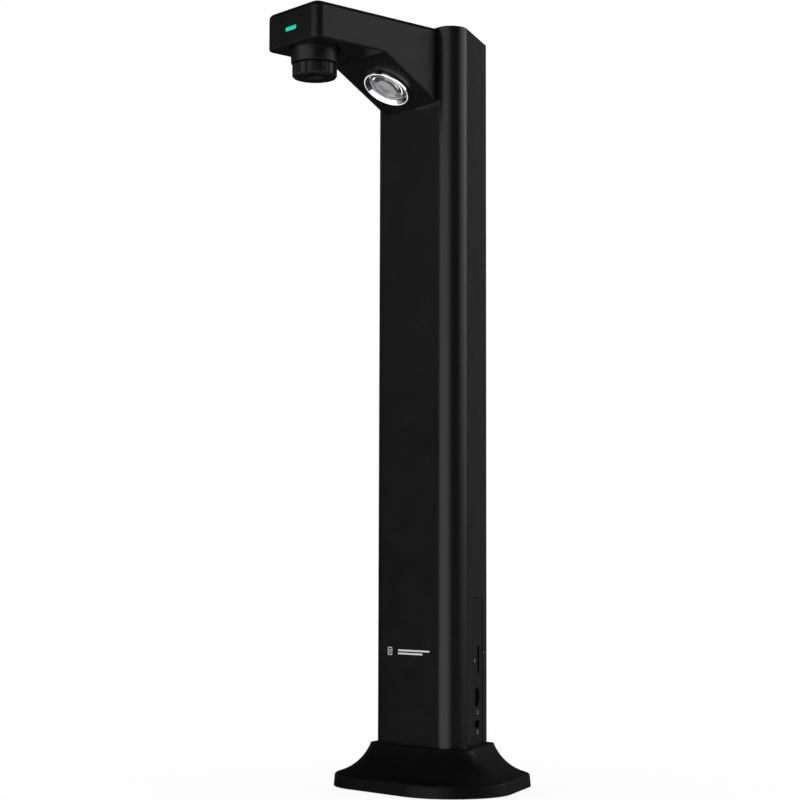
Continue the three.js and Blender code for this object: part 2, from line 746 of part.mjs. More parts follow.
// ---- Lamp, in the lamp frame: z = 0 is the slanted underside, and negative stands proud of it ----
function buildLamp() {
  add(
    "lamp_bezel",
    turned(
      [
        [10.4, -1.7],
        [10.8, -2],
        [11.6, -2],
        [12, -1.6],
        [12, -GAP],
        [11, -GAP],
        [11, 3.2],
        [10.4, 3.2],
      ],
      32,
    ),
    chrome,
    lamp,
  );
  add("lamp_lens", lampLens(), clearGlass, lamp);
  add(
    "lamp_reflector",
    turned([[9.4, 1.5], [10.2, 1.5], [8, 5.4], [4.6, 8.6], [3.6, 8.6], [3.6, 8], [7.2, 4.9]], 32),
    chrome,
    lamp,
  );
  add("lamp_led", turned([[0, 6.6], [1.5, 7.1], [2.2, 8.2], [2.2, 9.4], [0, 9.4]], 16), ledYellow, lamp);
  add("lamp_board", post(9, 9.6, 11.2, 24), aluminium, lamp);
  const fins = [-9, -5.4, -1.8, 1.8, 5.4, 9].map((x) => block(x - 0.7, x + 0.7, -6.5, 5.8, 12.4, 17.8));
  add("lamp_heat_sink", join(block(-10.5, 10.5, -6.5, 5.8, 11.4, 12.8), ...fins), aluminium, lamp);
}

// A thick glass with a round flange and a dome that bulges out of the bezel.
function lampLens() {
  const domeR = 9.2;
  const rise = 3.2;
  const sphereR = (domeR * domeR + rise * rise) / (2 * rise);
  const centreZ = -0.4 - rise + sphereR;
  const reach = Math.asin(domeR / sphereR);
  const profile = [];
  for (let i = 0; i <= 6; i++) {
    const angle = (reach * i) / 6;
    profile.push([sphereR * Math.sin(angle), centreZ - sphereR * Math.cos(angle)]);
  }
  return turned([...profile, [10.1, -0.4], [10.1, 1.2], [0, 1.2]], 32);
}

buildBase();
buildColumn();
buildPorts();
buildCables();
buildArm();
buildBracket();
buildStatusLight();
buildLens();
buildLamp();

export default camera;
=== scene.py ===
"""Looks of the document camera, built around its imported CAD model.

Shapes are worked out in millimetres in the shared frame: +Z up, the arm towards -Y, the sockets on the
+X side. Places come from the CAD nodes' boxes. Each visible casing is rebuilt with its edge rounding, and
every other CAD node keeps its shape and gets a procedural material.
"""
from math import asin, atan2, cos, degrees, hypot, pi, radians, sin, tan

import bmesh
import bpy
from mathutils import Matrix, Vector


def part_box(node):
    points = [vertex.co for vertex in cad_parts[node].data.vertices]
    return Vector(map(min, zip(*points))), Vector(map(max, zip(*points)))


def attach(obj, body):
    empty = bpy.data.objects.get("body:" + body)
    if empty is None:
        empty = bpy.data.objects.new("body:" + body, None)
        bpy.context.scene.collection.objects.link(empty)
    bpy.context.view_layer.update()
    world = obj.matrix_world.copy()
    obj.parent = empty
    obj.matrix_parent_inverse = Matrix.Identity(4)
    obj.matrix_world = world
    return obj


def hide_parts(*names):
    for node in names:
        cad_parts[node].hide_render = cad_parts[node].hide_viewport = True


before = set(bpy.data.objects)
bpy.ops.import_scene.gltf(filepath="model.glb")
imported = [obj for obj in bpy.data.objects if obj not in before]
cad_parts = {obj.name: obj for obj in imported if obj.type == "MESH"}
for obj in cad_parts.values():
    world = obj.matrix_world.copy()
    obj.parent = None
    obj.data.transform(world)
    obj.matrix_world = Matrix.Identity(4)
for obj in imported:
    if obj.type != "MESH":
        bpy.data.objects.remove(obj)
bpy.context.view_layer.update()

MM = 0.001
WELD = 2e-6  # metres within which points count as one
STAND = "stand"
SEGMENTS = 96  # round a full turn, unless a piece says otherwise


def cad_box(node):
    """A CAD node's lowest and highest corner, in millimetres."""
    low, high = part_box(node)
    return low / MM, high / MM


def cad_middle(node):
    low, high = cad_box(node)
    return (low + high) / 2


def add_object(name, data):
    thing = bpy.data.objects.new(name, data)
    bpy.context.scene.collection.objects.link(thing)
    return thing


# ---------- outlines and profiles


def arc(centre, radius, start, end, steps):
    """Points on an arc in a plane, from one angle to another, in degrees."""
    angles = [radians(start + (end - start) * i / steps) for i in range(steps + 1)]
    return [(centre[0] + radius * cos(a), centre[1] + radius * sin(a)) for a in angles]


def rounded(points, radii, closed=True, steps=6):
    """The outline with its corners replaced by arcs of the given radii (one number, or one per corner)."""
    count = len(points)
    if not hasattr(radii, "__len__"):
        radii = [radii] * count
    made = []
    for i, (point, radius) in enumerate(zip(points, radii)):
        at_end = not closed and i in (0, count - 1)
        here = Vector(point)
        before = Vector(points[i - 1]) - here
        after = Vector(points[(i + 1) % count]) - here
        turn = before.angle(after, pi) if before.length and after.length else pi
        if at_end or radius <= 0 or turn > radians(178):
            made.append(tuple(here))
            continue
        back = min(radius / tan(turn / 2), 0.49 * before.length, 0.49 * after.length)
        radius = back * tan(turn / 2)
        middle = (before.normalized() + after.normalized()).normalized()
        centre = here + middle * hypot(radius, back)
        first = here + before.normalized() * back - centre
        last = here + after.normalized() * back - centre
        swing = first.angle_signed(last)
        pieces = max(2, round(steps * abs(degrees(swing)) / 90))
        for k in range(pieces + 1):
            turned_by = Matrix.Rotation(-swing * k / pieces, 2)
            made.append(tuple(centre + turned_by @ first))
    return made


def box_outline(x0, x1, y0, y1):
    return [(x0, y0), (x1, y0), (x1, y1), (x0, y1)]


def pill_outline(half, radius, steps=12):
    right = arc((half - radius, 0), radius, -90, 90, steps)
    return right + [(-x, -y) for x, y in right]


def moved(outline, across, up):
    return [(x + across, y + up) for x, y in outline]


def mirrored(points):
    return [(-x, y) for x, y in reversed(points)]


def at_height(outline, z):
    return [(x, y, z) for x, y in outline]


def signed_area(outline):
    following = outline[1:] + outline[:1]
    return sum(a[0] * b[1] - b[0] * a[1] for a, b in zip(outline, following)) / 2


def inset(outline, amount):
    """A counter-clockwise outline moved inwards by amount, corner by corner."""
    if not amount:
        return list(outline)
    count = len(outline)
    made = []
    for i, point in enumerate(outline):
        here = Vector(point)
        arriving = (here - Vector(outline[i - 1])).normalized()
        leaving = (Vector(outline[(i + 1) % count]) - here).normalized()
        left_in = Vector((-arriving.y, arriving.x))
        left_out = Vector((-leaving.y, leaving.x))
        miter = (left_in + left_out) / (1 + left_in.dot(left_out))
        made.append(tuple(here + miter * amount))
    return made


def edge_steps(radius, steps=4):
    """(inset, distance from the end face) pairs down a rounded edge, from its face to its side."""
    if radius <= 0:
        return [(0, 0)]
    angles = [radians(90 * i / steps) for i in range(steps + 1)]
    return [(radius * (1 - sin(a)), radius * (1 - cos(a))) for a in angles]


# ---------- mesh pieces


def welded_piece(name, bm):
    """The finished bmesh as an object, with its stray points welded and its faces turned outwards."""
    bmesh.ops.remove_doubles(bm, verts=bm.verts, dist=WELD)
    bmesh.ops.dissolve_degenerate(bm, edges=bm.edges, dist=WELD / 2)
    bmesh.ops.recalc_face_normals(bm, faces=bm.faces)
    mesh = bpy.data.meshes.new(name)
    bm.to_mesh(mesh)
    bm.free()
    return add_object(name, mesh)


def mesh_from_rings(name, rings, closed_loop=False, bent=False):
    """A closed mesh through rings of equally many points, with flat ends unless the rings join up.
    Bent ends are covered in strips from each right-hand point to its mirror image on the left."""
    bm = bmesh.new()
    rows = [[bm.verts.new(Vector(p) * MM) for p in ring] for ring in rings]
    following = rows[1:] + rows[:1] if closed_loop else rows[1:]
    count = len(rings[0])
    for low, high in zip(rows, following):
        for i in range(count):
            j = (i + 1) % count
            bm.faces.new((low[i], low[j], high[j], high[i]))
    if bent:
        for i in range(count // 2 - 1):
            j = count - 1 - i
            bm.faces.new((rows[0][i], rows[0][j], rows[0][j - 1], rows[0][i + 1]))
            bm.faces.new((rows[-1][i + 1], rows[-1][j - 1], rows[-1][j], rows[-1][i]))
    elif not closed_loop:
        bm.faces.new(rows[0][::-1])
        bm.faces.new(rows[-1])
    return welded_piece(name, bm)


XY = Matrix.Identity(4)
XZ = Matrix(((1, 0, 0, 0), (0, 0, -1, 0), (0, 1, 0, 0), (0, 0, 0, 1)))  # outline x, z; depth towards -Y
YZ = Matrix(((0, 0, 1, 0), (1, 0, 0, 0), (0, 1, 0, 0), (0, 0, 0, 1)))  # outline y, z; depth towards +X
TO_FRONT = Matrix.Rotation(radians(90), 4, "X")  # these three turn +Z towards the object's side they name
TO_BACK = Matrix.Rotation(radians(-90), 4, "X")
TO_RIGHT = Matrix.Rotation(radians(90), 4, "Y")


def at(x, y, z):
    return Matrix.Translation((x, y, z))


def levels(low, high, low_edge, high_edge, steps=4):
    """(inset, level) pairs from low to high, with both end edges rounded."""
    lower = [(pull, low + rise) for pull, rise in edge_steps(low_edge, steps)]
    return lower + [(pull, high - drop) for pull, drop in reversed(edge_steps(high_edge, steps))]


def plate(name, outline, low, high, low_edge=0.0, high_edge=0.0, place=XY, steps=4):
    """An outline extruded from low to high, with both end edges rounded."""
    if signed_area(outline) < 0:
        outline = outline[::-1]
    rings = []
    for pull, level in levels(low, high, low_edge, high_edge, steps):
        rings.append([place @ Vector((*p, level)) for p in inset(outline, pull)])
    return mesh_from_rings(name, rings)


def turned(name, profile, place=XY, segments=SEGMENTS, radius_at=None):
    """A turned piece about the place's Z axis, from (radius, height) points: closed, or axis to axis."""
    bm = bmesh.new()
    grid = []
    for i in range(segments):
        angle = 2 * pi * i / segments
        column = []
        for radius, z in profile:
            reach = radius_at(angle, radius) if radius_at else radius
            point = place @ Vector((reach * cos(angle), reach * sin(angle), z))
            column.append(bm.verts.new(point * MM))
        grid.append(column)
    points = len(profile)
    on_axis = profile[0][0] == 0
    last = points - 1 if on_axis else points
    for here, following in zip(grid, grid[1:] + grid[:1]):
        for k in range(last):
            j = (k + 1) % points
            bm.faces.new((here[k], here[j], following[j], following[k]))
    return welded_piece(name, bm)


def boolean(target, others, operation="DIFFERENCE"):
    """Cuts others from target, or joins them to it, and removes them."""
    for other in others:
        step = target.modifiers.new("cut", "BOOLEAN")
        step.operation = operation
        step.solver = "EXACT"
        step.object = other
    graph = bpy.context.evaluated_depsgraph_get()
    made = bpy.data.meshes.new_from_object(target.evaluated_get(graph))
    made.name = target.data.name
    target.modifiers.clear()
    target.data = made
    for other in others:
        bpy.data.objects.remove(other)


def shade(thing, sharp=32):
    """Smooth shading with true flats: edges over the sharp angle stay sharp, and big faces lead."""
    for polygon in thing.data.polygons:
        polygon.use_smooth = True
    thing.data.set_sharp_from_angle(angle=radians(sharp))
    weighted = thing.modifiers.new("flats", "WEIGHTED_NORMAL")
    weighted.mode = "FACE_AREA"
    weighted.weight = 90
    weighted.keep_sharp = True


def finish_piece(thing, material, slot, *nodes, body=STAND, sharp=32):
    """Shades a piece, gives it its material and body, and hides the CAD nodes it stands for."""
    shade(thing, sharp)
    thing.data.materials.clear()
    thing.data.materials.append(material)
    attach(thing, body)
    if nodes:
        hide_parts(*nodes)


# ---------- procedural materials


NOISE_RANGE = (0.3, 0.7)  # where nearly all of a noise texture's values lie


def set_range(node, from_low, from_high, to_low, to_high):
    sockets = ("From Min", "From Max", "To Min", "To Max")
    for socket, number in zip(sockets, (from_low, from_high, to_low, to_high)):
        node.inputs[socket].default_value = number


class Look:
    """A material under construction: a Principled shader and short names for its usual inputs."""

    def __init__(self, name, color, roughness, metallic=0.0, **sockets):
        self.material = bpy.data.materials.new(name)
        self.material.use_nodes = True
        self.tree = self.material.node_tree
        self.shader = self.tree.nodes["Principled BSDF"]
        self.color = color
        self.roughness = roughness
        self.shader.inputs["Base Color"].default_value = (*color, 1)
        self.shader.inputs["Roughness"].default_value = roughness
        self.shader.inputs["Metallic"].default_value = metallic
        for socket, value in sockets.items():
            self.shader.inputs[socket.replace("_", " ")].default_value = value
        self.place = self.node("ShaderNodeTexCoord").outputs["Object"]

    def node(self, kind, **values):
        made = self.tree.nodes.new(kind)
        for key, value in values.items():
            if key in made.inputs:
                made.inputs[key].default_value = value
            else:
                setattr(made, key, value)
        return made

    def link(self, source, target):
        self.tree.links.new(source, target)

    def stretched(self, scale):
        mapping = self.node("ShaderNodeMapping")
        mapping.inputs["Scale"].default_value = scale
        self.link(self.place, mapping.inputs["Vector"])
        return mapping.outputs["Vector"]

    def noise(self, scale, detail=2.0, stretch=None):
        made = self.node("ShaderNodeTexNoise", Scale=scale, Detail=detail)
        self.link(self.stretched(stretch) if stretch else self.place, made.inputs["Vector"])
        return made.outputs["Fac"]

    def vary_color(self, value, spread, socket="Base Color"):
        """The colour drifts by spread either way with value."""
        ramp = self.node("ShaderNodeValToRGB")
        low, high = ramp.color_ramp.elements
        low.position, high.position = NOISE_RANGE
        low.color = (*(c * (1 - spread) for c in self.color), 1)
        high.color = (*(min(1, c * (1 + spread)) for c in self.color), 1)
        self.link(value, ramp.inputs["Fac"])
        self.link(ramp.outputs["Color"], self.shader.inputs[socket])

    def vary_roughness(self, value, spread):
        drift = self.node("ShaderNodeMapRange")
        set_range(drift, *NOISE_RANGE, self.roughness - spread, self.roughness + spread)
        self.link(value, drift.inputs["Value"])
        self.link(drift.outputs["Result"], self.shader.inputs["Roughness"])

    def bump(self, *layers):
        """Bump from (height output, strength, depth in millimetres) layers, chained."""
        normal = None
        for height, strength, depth in layers:
            made = self.node("ShaderNodeBump", Strength=strength, Distance=depth * MM)
            self.link(height, made.inputs["Height"])
            if normal:
                self.link(normal, made.inputs["Normal"])
            normal = made.outputs["Normal"]
        self.link(normal, self.shader.inputs["Normal"])


def moulded(name, color, roughness, grain=4200, depth=0.012, **sockets):
    """Injection-moulded plastic: a fine spark-eroded grain, slow gloss drift, faint colour drift."""
    look = Look(name, color, roughness, **sockets)
    look.vary_color(look.noise(38, 3), 0.12)
    look.vary_roughness(look.noise(95, 4), 0.025)
    look.bump((look.noise(60, 1), 0.15, 0.02), (look.noise(grain, 2), 0.35, depth))
    return look.material


def rubber(name, color):
    look = Look(name, color, 0.8)
    look.vary_color(look.noise(160, 4), 0.25)
    look.bump((look.noise(2600, 3), 0.6, 0.05))
    return look.material


def sheet_metal(name, color, roughness, stretch=(40, 40, 1)):
    """Plated or drawn sheet with a fine directional grain and a mottled finish."""
    look = Look(name, color, roughness, metallic=1.0)
    grain = look.noise(90, 5, stretch)
    look.vary_color(look.noise(120, 4), 0.1)
    look.vary_roughness(grain, 0.08)
    look.bump((grain, 0.25, 0.02))
    return look.material


def polished(name, color):
    look = Look(name, color, 0.05, metallic=1.0)
    look.vary_color(look.noise(80, 3), 0.03)
    look.vary_roughness(look.noise(220, 4), 0.02)
    look.bump((look.noise(420, 2), 0.05, 0.01))
    return look.material


def circuit_board(name):
    """Solder mask over copper tracks: cells of fine straight lines."""
    look = Look(name, (0.010, 0.075, 0.028), 0.35)
    tracks = look.node("ShaderNodeTexBrick", Scale=420)
    look.link(look.stretched((1, 1, 1.6)), tracks.inputs["Vector"])
    tracks.inputs["Color1"].default_value = (0.008, 0.060, 0.022, 1)
    tracks.inputs["Color2"].default_value = (0.012, 0.088, 0.032, 1)
    tracks.inputs["Mortar"].default_value = (0.030, 0.160, 0.060, 1)
    tracks.inputs["Mortar Size"].default_value = 0.03
    look.link(tracks.outputs["Color"], look.shader.inputs["Base Color"])
    look.vary_roughness(look.noise(300, 3), 0.06)
    look.bump((tracks.outputs["Fac"], 0.3, 0.03))
    return look.material


def flat_cable(name):
    """White film over parallel conductors."""
    look = Look(name, (0.62, 0.62, 0.58), 0.4)
    bands = look.node("ShaderNodeTexWave", Scale=320, bands_direction="X")
    look.link(look.place, bands.inputs["Vector"])
    look.vary_color(bands.outputs["Fac"], 0.12)
    look.bump((bands.outputs["Fac"], 0.4, 0.05))
    return look.material


def glowing(name, color, strength):
    """Translucent plastic lit from within, with a nearly black surface of its own."""
    look = Look(name, color, 0.25)
    look.shader.inputs["Base Color"].default_value = (*(c * 0.06 for c in color), 1)
    look.shader.inputs["Emission Strength"].default_value = strength
    look.vary_color(look.noise(420, 1), 0.06, socket="Emission Color")
    look.vary_roughness(look.noise(900, 2), 0.03)
    return look.material


def clear(name, color, roughness, ior=1.49, coat=0.0):
    """Clear optical plastic or glass with the faintest surface ripple."""
    look = Look(name, color, roughness, Transmission_Weight=1.0, IOR=ior, Coat_Weight=coat)
    look.vary_color(look.noise(70, 2), 0.02)
    look.bump((look.noise(180, 1), 0.04, 0.02))
    return look.material


def print_ink(name, color):
    look = Look(name, color, 0.45)
    look.vary_color(look.noise(1500, 3), 0.05)
    look.bump((look.noise(5000, 2), 0.2, 0.01))
    return look.material


COLUMN_PLASTIC = moulded("column_satin_black", (0.0046, 0.0042, 0.0047), 0.25)
# the column's satin black with its colour and gloss turned down, so the arm shows darker than the column:
# painted shade
ARM_PLASTIC_PAINTED_SHADE = moulded("arm_satin_black_painted_shade", (0.0034, 0.0031, 0.0035), 0.35, Specular_IOR_Level=0.37)
COVER_PLASTIC = moulded("cover_satin_black", (0.0050, 0.0047, 0.0051), 0.36, Specular_IOR_Level=0.36)
BASE_PLASTIC = moulded("base_satin_black", (0.0032, 0.0030, 0.0033), 0.35, Specular_IOR_Level=0.14)
PORTS_PLASTIC = moulded(
    "ports_matte_black", (0.0036, 0.0034, 0.0036), 0.48, grain=3000, depth=0.02, Specular_IOR_Level=0.3
)
LENS_PLASTIC = moulded(
    "lens_satin_black", (0.0040, 0.0038, 0.0041), 0.36, grain=5200, Specular_IOR_Level=0.46
)
HIDDEN_PLASTIC = moulded("connector_black", (0.008, 0.008, 0.008), 0.5, grain=3600)
FOOT_RUBBER = rubber("foot_rubber", (0.016, 0.016, 0.016))
LEAD_BLACK = rubber("lead_black", (0.010, 0.010, 0.010))
PLATED_STEEL = sheet_metal("plated_steel", (0.42, 0.43, 0.45), 0.38)
BLACK_STEEL = sheet_metal("black_oxide_steel", (0.045, 0.045, 0.05), 0.36, stretch=(1, 1, 30))
ALLOY = sheet_metal("blasted_alloy", (0.70, 0.71, 0.73), 0.42, stretch=(1, 1, 1))
BRASS = sheet_metal("contact_brass", (0.62, 0.45, 0.17), 0.25)
CHROME = polished("lamp_chrome", (0.82, 0.82, 0.83))
SATIN_CHROME = sheet_metal("reflector_satin", (0.60, 0.60, 0.61), 0.34, stretch=(1, 1, 1))
BOARD = circuit_board("circuit_board")
RIBBON = flat_cable("ribbon_film")
LED_YELLOW = glowing("led_phosphor", (0.85, 0.72, 0.30), 0.4)
STATUS_GREEN = glowing("status_green", (0.015, 0.66, 0.42), 0.88)
LENS_GLASS = clear("coated_lens", (0.55, 0.60, 0.68), 0.02, ior=1.6, coat=0.6)
LAMP_GLASS = clear("lamp_acrylic", (0.95, 0.96, 0.96), 0.03)
SIGN_WHITE = print_ink("sign_white", (0.60, 0.60, 0.60))
SIGN_GREY = print_ink("sign_grey", (0.18, 0.18, 0.18))


# ---------- camera, light and floor

LENS_MM = 87.99
SENSOR_MM = 36
CAMERA_AT = (0.714803, -0.622459, 0.106817)  # metres
CAMERA_AZIMUTH = 48.961  # degrees, like the pitch and roll
CAMERA_PITCH = 4.891
CAMERA_ROLL = 0.158
STUDIO_TINT = (1.0, 0.965, 1.0, 1)
FLOOR_RADIUS = 6.0  # metres, like the next two
TABLE_GLOW_WIDE = 1.7
TABLE_GLOW_AT = (0.1, -0.15, 0.004)


def make_camera():
    data = bpy.data.cameras.new("photo_view")
    data.lens = LENS_MM
    data.sensor_width = SENSOR_MM
    data.clip_start = 0.02
    camera = add_object("photo_view", data)
    turn = Matrix.Rotation(radians(CAMERA_AZIMUTH), 4, "Z")
    tilt = Matrix.Rotation(radians(90 + CAMERA_PITCH), 4, "X")
    roll = Matrix.Rotation(radians(CAMERA_ROLL), 4, "Z")
    camera.matrix_world = at(*CAMERA_AT) @ turn @ tilt @ roll
    bpy.context.scene.camera = camera


class World:
    """The studio as seen in reflections: dark, with soft glowing areas at chosen directions."""

    def __init__(self):
        world = bpy.data.worlds.new("studio")
        bpy.context.scene.world = world
        world.use_nodes = True
        world.cycles.sampling_method = "NONE"
        self.tree = world.node_tree
        self.tree.nodes.clear()
        self.total = 0.0
        direction = self.node("ShaderNodeTexCoord").outputs["Generated"]
        split = self.node("ShaderNodeSeparateXYZ")
        self.tree.links.new(direction, split.inputs[0])
        self.x, self.y, self.z = split.outputs

    def node(self, kind):
        return self.tree.nodes.new(kind)

    def math(self, operation, *values):
        made = self.node("ShaderNodeMath")
        made.operation = operation
        for socket, value in zip(made.inputs, values):
            if isinstance(value, (int, float)):
                socket.default_value = value
            else:
                self.tree.links.new(value, socket)
        return made.outputs[0]

    def ramp(self, value, start, end, low, high, smooth=True):
        made = self.node("ShaderNodeMapRange")
        made.interpolation_type = "SMOOTHSTEP" if smooth else "LINEAR"
        set_range(made, start, end, low, high)
        self.tree.links.new(value, made.inputs["Value"])
        return made.outputs["Result"]

    def azimuth_from(self, centre):
        """Degrees between a direction's azimuth and centre, from -180 to 180."""
        east, north = cos(radians(centre)), sin(radians(centre))
        along = self.math("ADD", self.math("MULTIPLY", self.x, east), self.math("MULTIPLY", self.y, north))
        across = self.math("ADD", self.math("MULTIPLY", self.y, east), self.math("MULTIPLY", self.x, -north))
        return self.math("MULTIPLY", self.math("ARCTAN2", across, along), degrees(1))

    def elevation(self):
        return self.math("MULTIPLY", self.math("ARCSINE", self.z), degrees(1))

    def glow(self, centre, left, right, elevations, brightness):
        """A soft area. left and right are (full, none) angles from its centre; elevations and brightness
        give its strength up the sky as a chain of straight ramps."""
        angle = self.azimuth_from(centre)
        fade_in = self.ramp(angle, -left[1], -left[0], 0, 1)
        fade_out = self.ramp(angle, right[0], right[1], 1, 0)
        window = self.math("MULTIPLY", fade_in, fade_out)
        height = self.elevation()
        level = brightness[0]
        for start, end, before, after in zip(elevations, elevations[1:], brightness, brightness[1:]):
            level = self.math("ADD", level, self.ramp(height, start, end, 0, after - before, smooth=False))
        self.total = self.math("ADD", self.total, self.math("MULTIPLY", window, level))

    def finish(self, around, backdrop):
        """Glossy rays see the studio; the camera and diffuse light see a plain white surround."""
        links = self.tree.links
        reflected = self.node("ShaderNodeBackground")
        reflected.inputs["Color"].default_value = STUDIO_TINT
        links.new(self.math("ADD", self.total, around), reflected.inputs["Strength"])
        plain = self.node("ShaderNodeBackground")
        plain.inputs["Color"].default_value = (1, 1, 1, 1)
        plain.inputs["Strength"].default_value = backdrop
        rays = self.node("ShaderNodeLightPath")
        mix = self.node("ShaderNodeMixShader")
        links.new(rays.outputs["Is Glossy Ray"], mix.inputs["Fac"])
        links.new(plain.outputs[0], mix.inputs[1])
        links.new(reflected.outputs[0], mix.inputs[2])
        out = self.node("ShaderNodeOutputWorld")
        links.new(mix.outputs[0], out.inputs["Surface"])


def make_studio():
    studio = World()
    # in front: the band on the column's rounded front corner
    studio.glow(-88, (18, 50), (14, 56), (-40, -5, 13, 22, 36), (0.2, 1.2, 0.95, 0.4, 0.0))
    # on the right and further back: the bright strip beside the side face, stronger higher up
    studio.glow(62, (16, 58), (23, 32), (-5, 16, 21, 34), (0.0, 1.33, 1.2, 0.0))
    # a dim even wall behind, seen in the flat side
    studio.glow(106, (10, 16), (14, 30), (-30, 30), (0.05, 0.05))
    # a dim wall at the front left, seen in the flat front
    studio.glow(-150, (30, 55), (20, 50), (-6, 4, 14, 18, 30), (0.0, 0.015, 0.075, 0.07, 0.0))
    # a dim ground to the right and at the front left, seen in the back and sides from above
    studio.glow(10, (70, 92), (75, 95), (-60, -30, -14, -7), (0.25, 0.4, 0.3, 0.0))
    studio.glow(-135, (15, 35), (15, 35), (-60, -30, -16, -9), (0.25, 0.4, 0.3, 0.0))
    studio.finish(around=0.02, backdrop=1.0)


def make_floor():
    bm = bmesh.new()
    bmesh.ops.create_circle(bm, cap_ends=True, segments=96, radius=FLOOR_RADIUS)
    mesh = bpy.data.meshes.new("floor")
    bm.to_mesh(mesh)
    bm.free()
    floor = add_object("floor", mesh)
    look = Look("pale_floor", (0.14, 0.14, 0.14), 0.9, Specular_IOR_Level=0.0, Emission_Strength=0.855)
    look.shader.inputs["Emission Color"].default_value = (1, 1, 1, 1)
    look.vary_color(look.noise(3, 2), 0.01)
    look.material.cycles.emission_sampling = "NONE"
    mesh.materials.append(look.material)
    floor.visible_glossy = False
    floor.visible_transmission = False


def make_table_glow(name, watts):
    """A pale table top as the lamp mirrors it: an upward light for only the pieces in the made collection."""
    data = bpy.data.lights.new(name, "AREA")
    data.shape = "DISK"
    data.size = TABLE_GLOW_WIDE
    data.energy = watts
    light = add_object(name, data)
    light.location = TABLE_GLOW_AT
    light.rotation_euler = (pi, 0, 0)
    light.visible_camera = False
    lit = bpy.data.collections.new(name + "_pieces")
    light.light_linking.receiver_collection = lit
    return lit


bpy.context.scene.view_settings.view_transform = "Standard"
make_camera()
make_studio()
make_floor()
RIM_LIT = make_table_glow("rim_table_glow", 10.0)
DISH_LIT = make_table_glow("dish_table_glow", 2.2)


# ---------- the column's plan

FRONT_FLAT_HALF = 20.3
FRONT_CORNER_R = 8.3
BACK_CORNER_R = 1.4
SHARPEST_R = 0.2  # what an inset leaves of a corner at least
SIDE_TAPER = 30  # degrees by which the side faces turn in
WALL = 2.2

front_low, front_high = cad_box("column_front_shell")
rear_low, rear_high = cad_box("column_rear_shell")
FRONT_Y = front_low.y
BACK_Y = rear_high.y
COLUMN_LOW = front_low.z
COLUMN_TOP = front_high.z
FRONT_CENTRE = (FRONT_FLAT_HALF, FRONT_Y + FRONT_CORNER_R)
SIDE_START = (
    FRONT_CENTRE[0] + FRONT_CORNER_R * cos(radians(SIDE_TAPER)),
    FRONT_CENTRE[1] + FRONT_CORNER_R * sin(radians(SIDE_TAPER)),
)
# The side face's own frame: x out of the face, y towards the back, z up.
SIDE_FACE = at(*SIDE_START, 0) @ Matrix.Rotation(radians(SIDE_TAPER), 4, "Z")


def back_corner(grow, steps):
    """The round corner between the side and the back, moved out by grow."""
    radius = max(BACK_CORNER_R + grow, SHARPEST_R)
    inside = radius - grow
    y = BACK_Y - inside
    taper = radians(SIDE_TAPER)
    x = SIDE_START[0] - (inside + (y - SIDE_START[1]) * sin(taper)) / cos(taper)
    return arc((x, y), radius, SIDE_TAPER, 90, steps)


def column_plan(grow=0.0, steps=20, back_steps=8):
    """The column's whole outline, counter-clockwise, moved out by grow."""
    right = arc(FRONT_CENTRE, FRONT_CORNER_R + grow, -90, SIDE_TAPER, steps)
    right += back_corner(grow, back_steps)
    return right + mirrored(right)


def front_corner_from(seam_y, depth, steps):
    """From the seam round the front corner to the flat front, depth below the outer surface."""
    radius = FRONT_CORNER_R - depth
    rise = (seam_y - FRONT_CENTRE[1]) / radius
    if rise < sin(radians(SIDE_TAPER)):
        return arc(FRONT_CENTRE, radius, degrees(asin(rise)), -90, steps)
    return [edge_point(seam_y, depth)] + arc(FRONT_CENTRE, radius, SIDE_TAPER, -90, steps)


def edge_point(y, depth):
    """The point of the side wall at that y, depth below its outer surface."""
    out = radians(SIDE_TAPER)
    start = (SIDE_START[0] - depth * cos(out), SIDE_START[1] - depth * sin(out))
    along = (y - start[1]) / cos(out)
    return (start[0] - along * sin(out), y)


SEAM_EDGE = 0.22  # rounding of the shells' meeting edges
SHELL_EDGE = 0.2  # rounding of their ends
BRACKET_CLEARANCE = 0.9


def column_shell(name, outside, inside):
    """A shell over the column's height, from the right halves of its outer and inner outline."""
    outside, inside = outside + mirrored(outside), inside + mirrored(inside)
    outline = outside + inside[::-1]
    seams = {0, len(outside) - 1, len(outside), len(outline) - 1}
    outline = rounded(outline, [SEAM_EDGE if i in seams else 0 for i in range(len(outline))], steps=3)
    return plate(name, outline, COLUMN_LOW, COLUMN_TOP, SHELL_EDGE, SHELL_EDGE)


def make_column_front():
    seam = front_high.y
    outside = front_corner_from(seam, 0, 24)
    shell = column_shell("column_front_casing", outside, front_corner_from(seam, WALL, 16))
    bracket_low, bracket_high = cad_box("arm_bracket")
    half = bracket_high.x + BRACKET_CLEARANCE
    opening = box_outline(-half, half, FRONT_Y - 3, FRONT_Y + 5)
    boolean(shell, [plate("window", opening, bracket_low.z + 2, COLUMN_TOP - 3)])
    finish_piece(shell, COLUMN_PLASTIC, "column_plastic", "column_front_shell")


SCREW_NODES = [f"rear_screw_{i}" for i in range(1, 5)]
BOSS_R = 3.4
BOSS_FRONT = 23.7  # y of the bosses' front ends
SCREW_HOLE_R = 1.6
HEAD_HOLE_R = 3.1
HEAD_HOLE_MOUTH_R = 3.5
HEAD_HOLE_DEEP = 3.6
PANEL_HOLE = (7.6, 26.4, 15.8, 92.2)  # the ports panel's opening in SIDE_FACE: y from and to, z from and to
PANEL_CORNER_R = 1.5


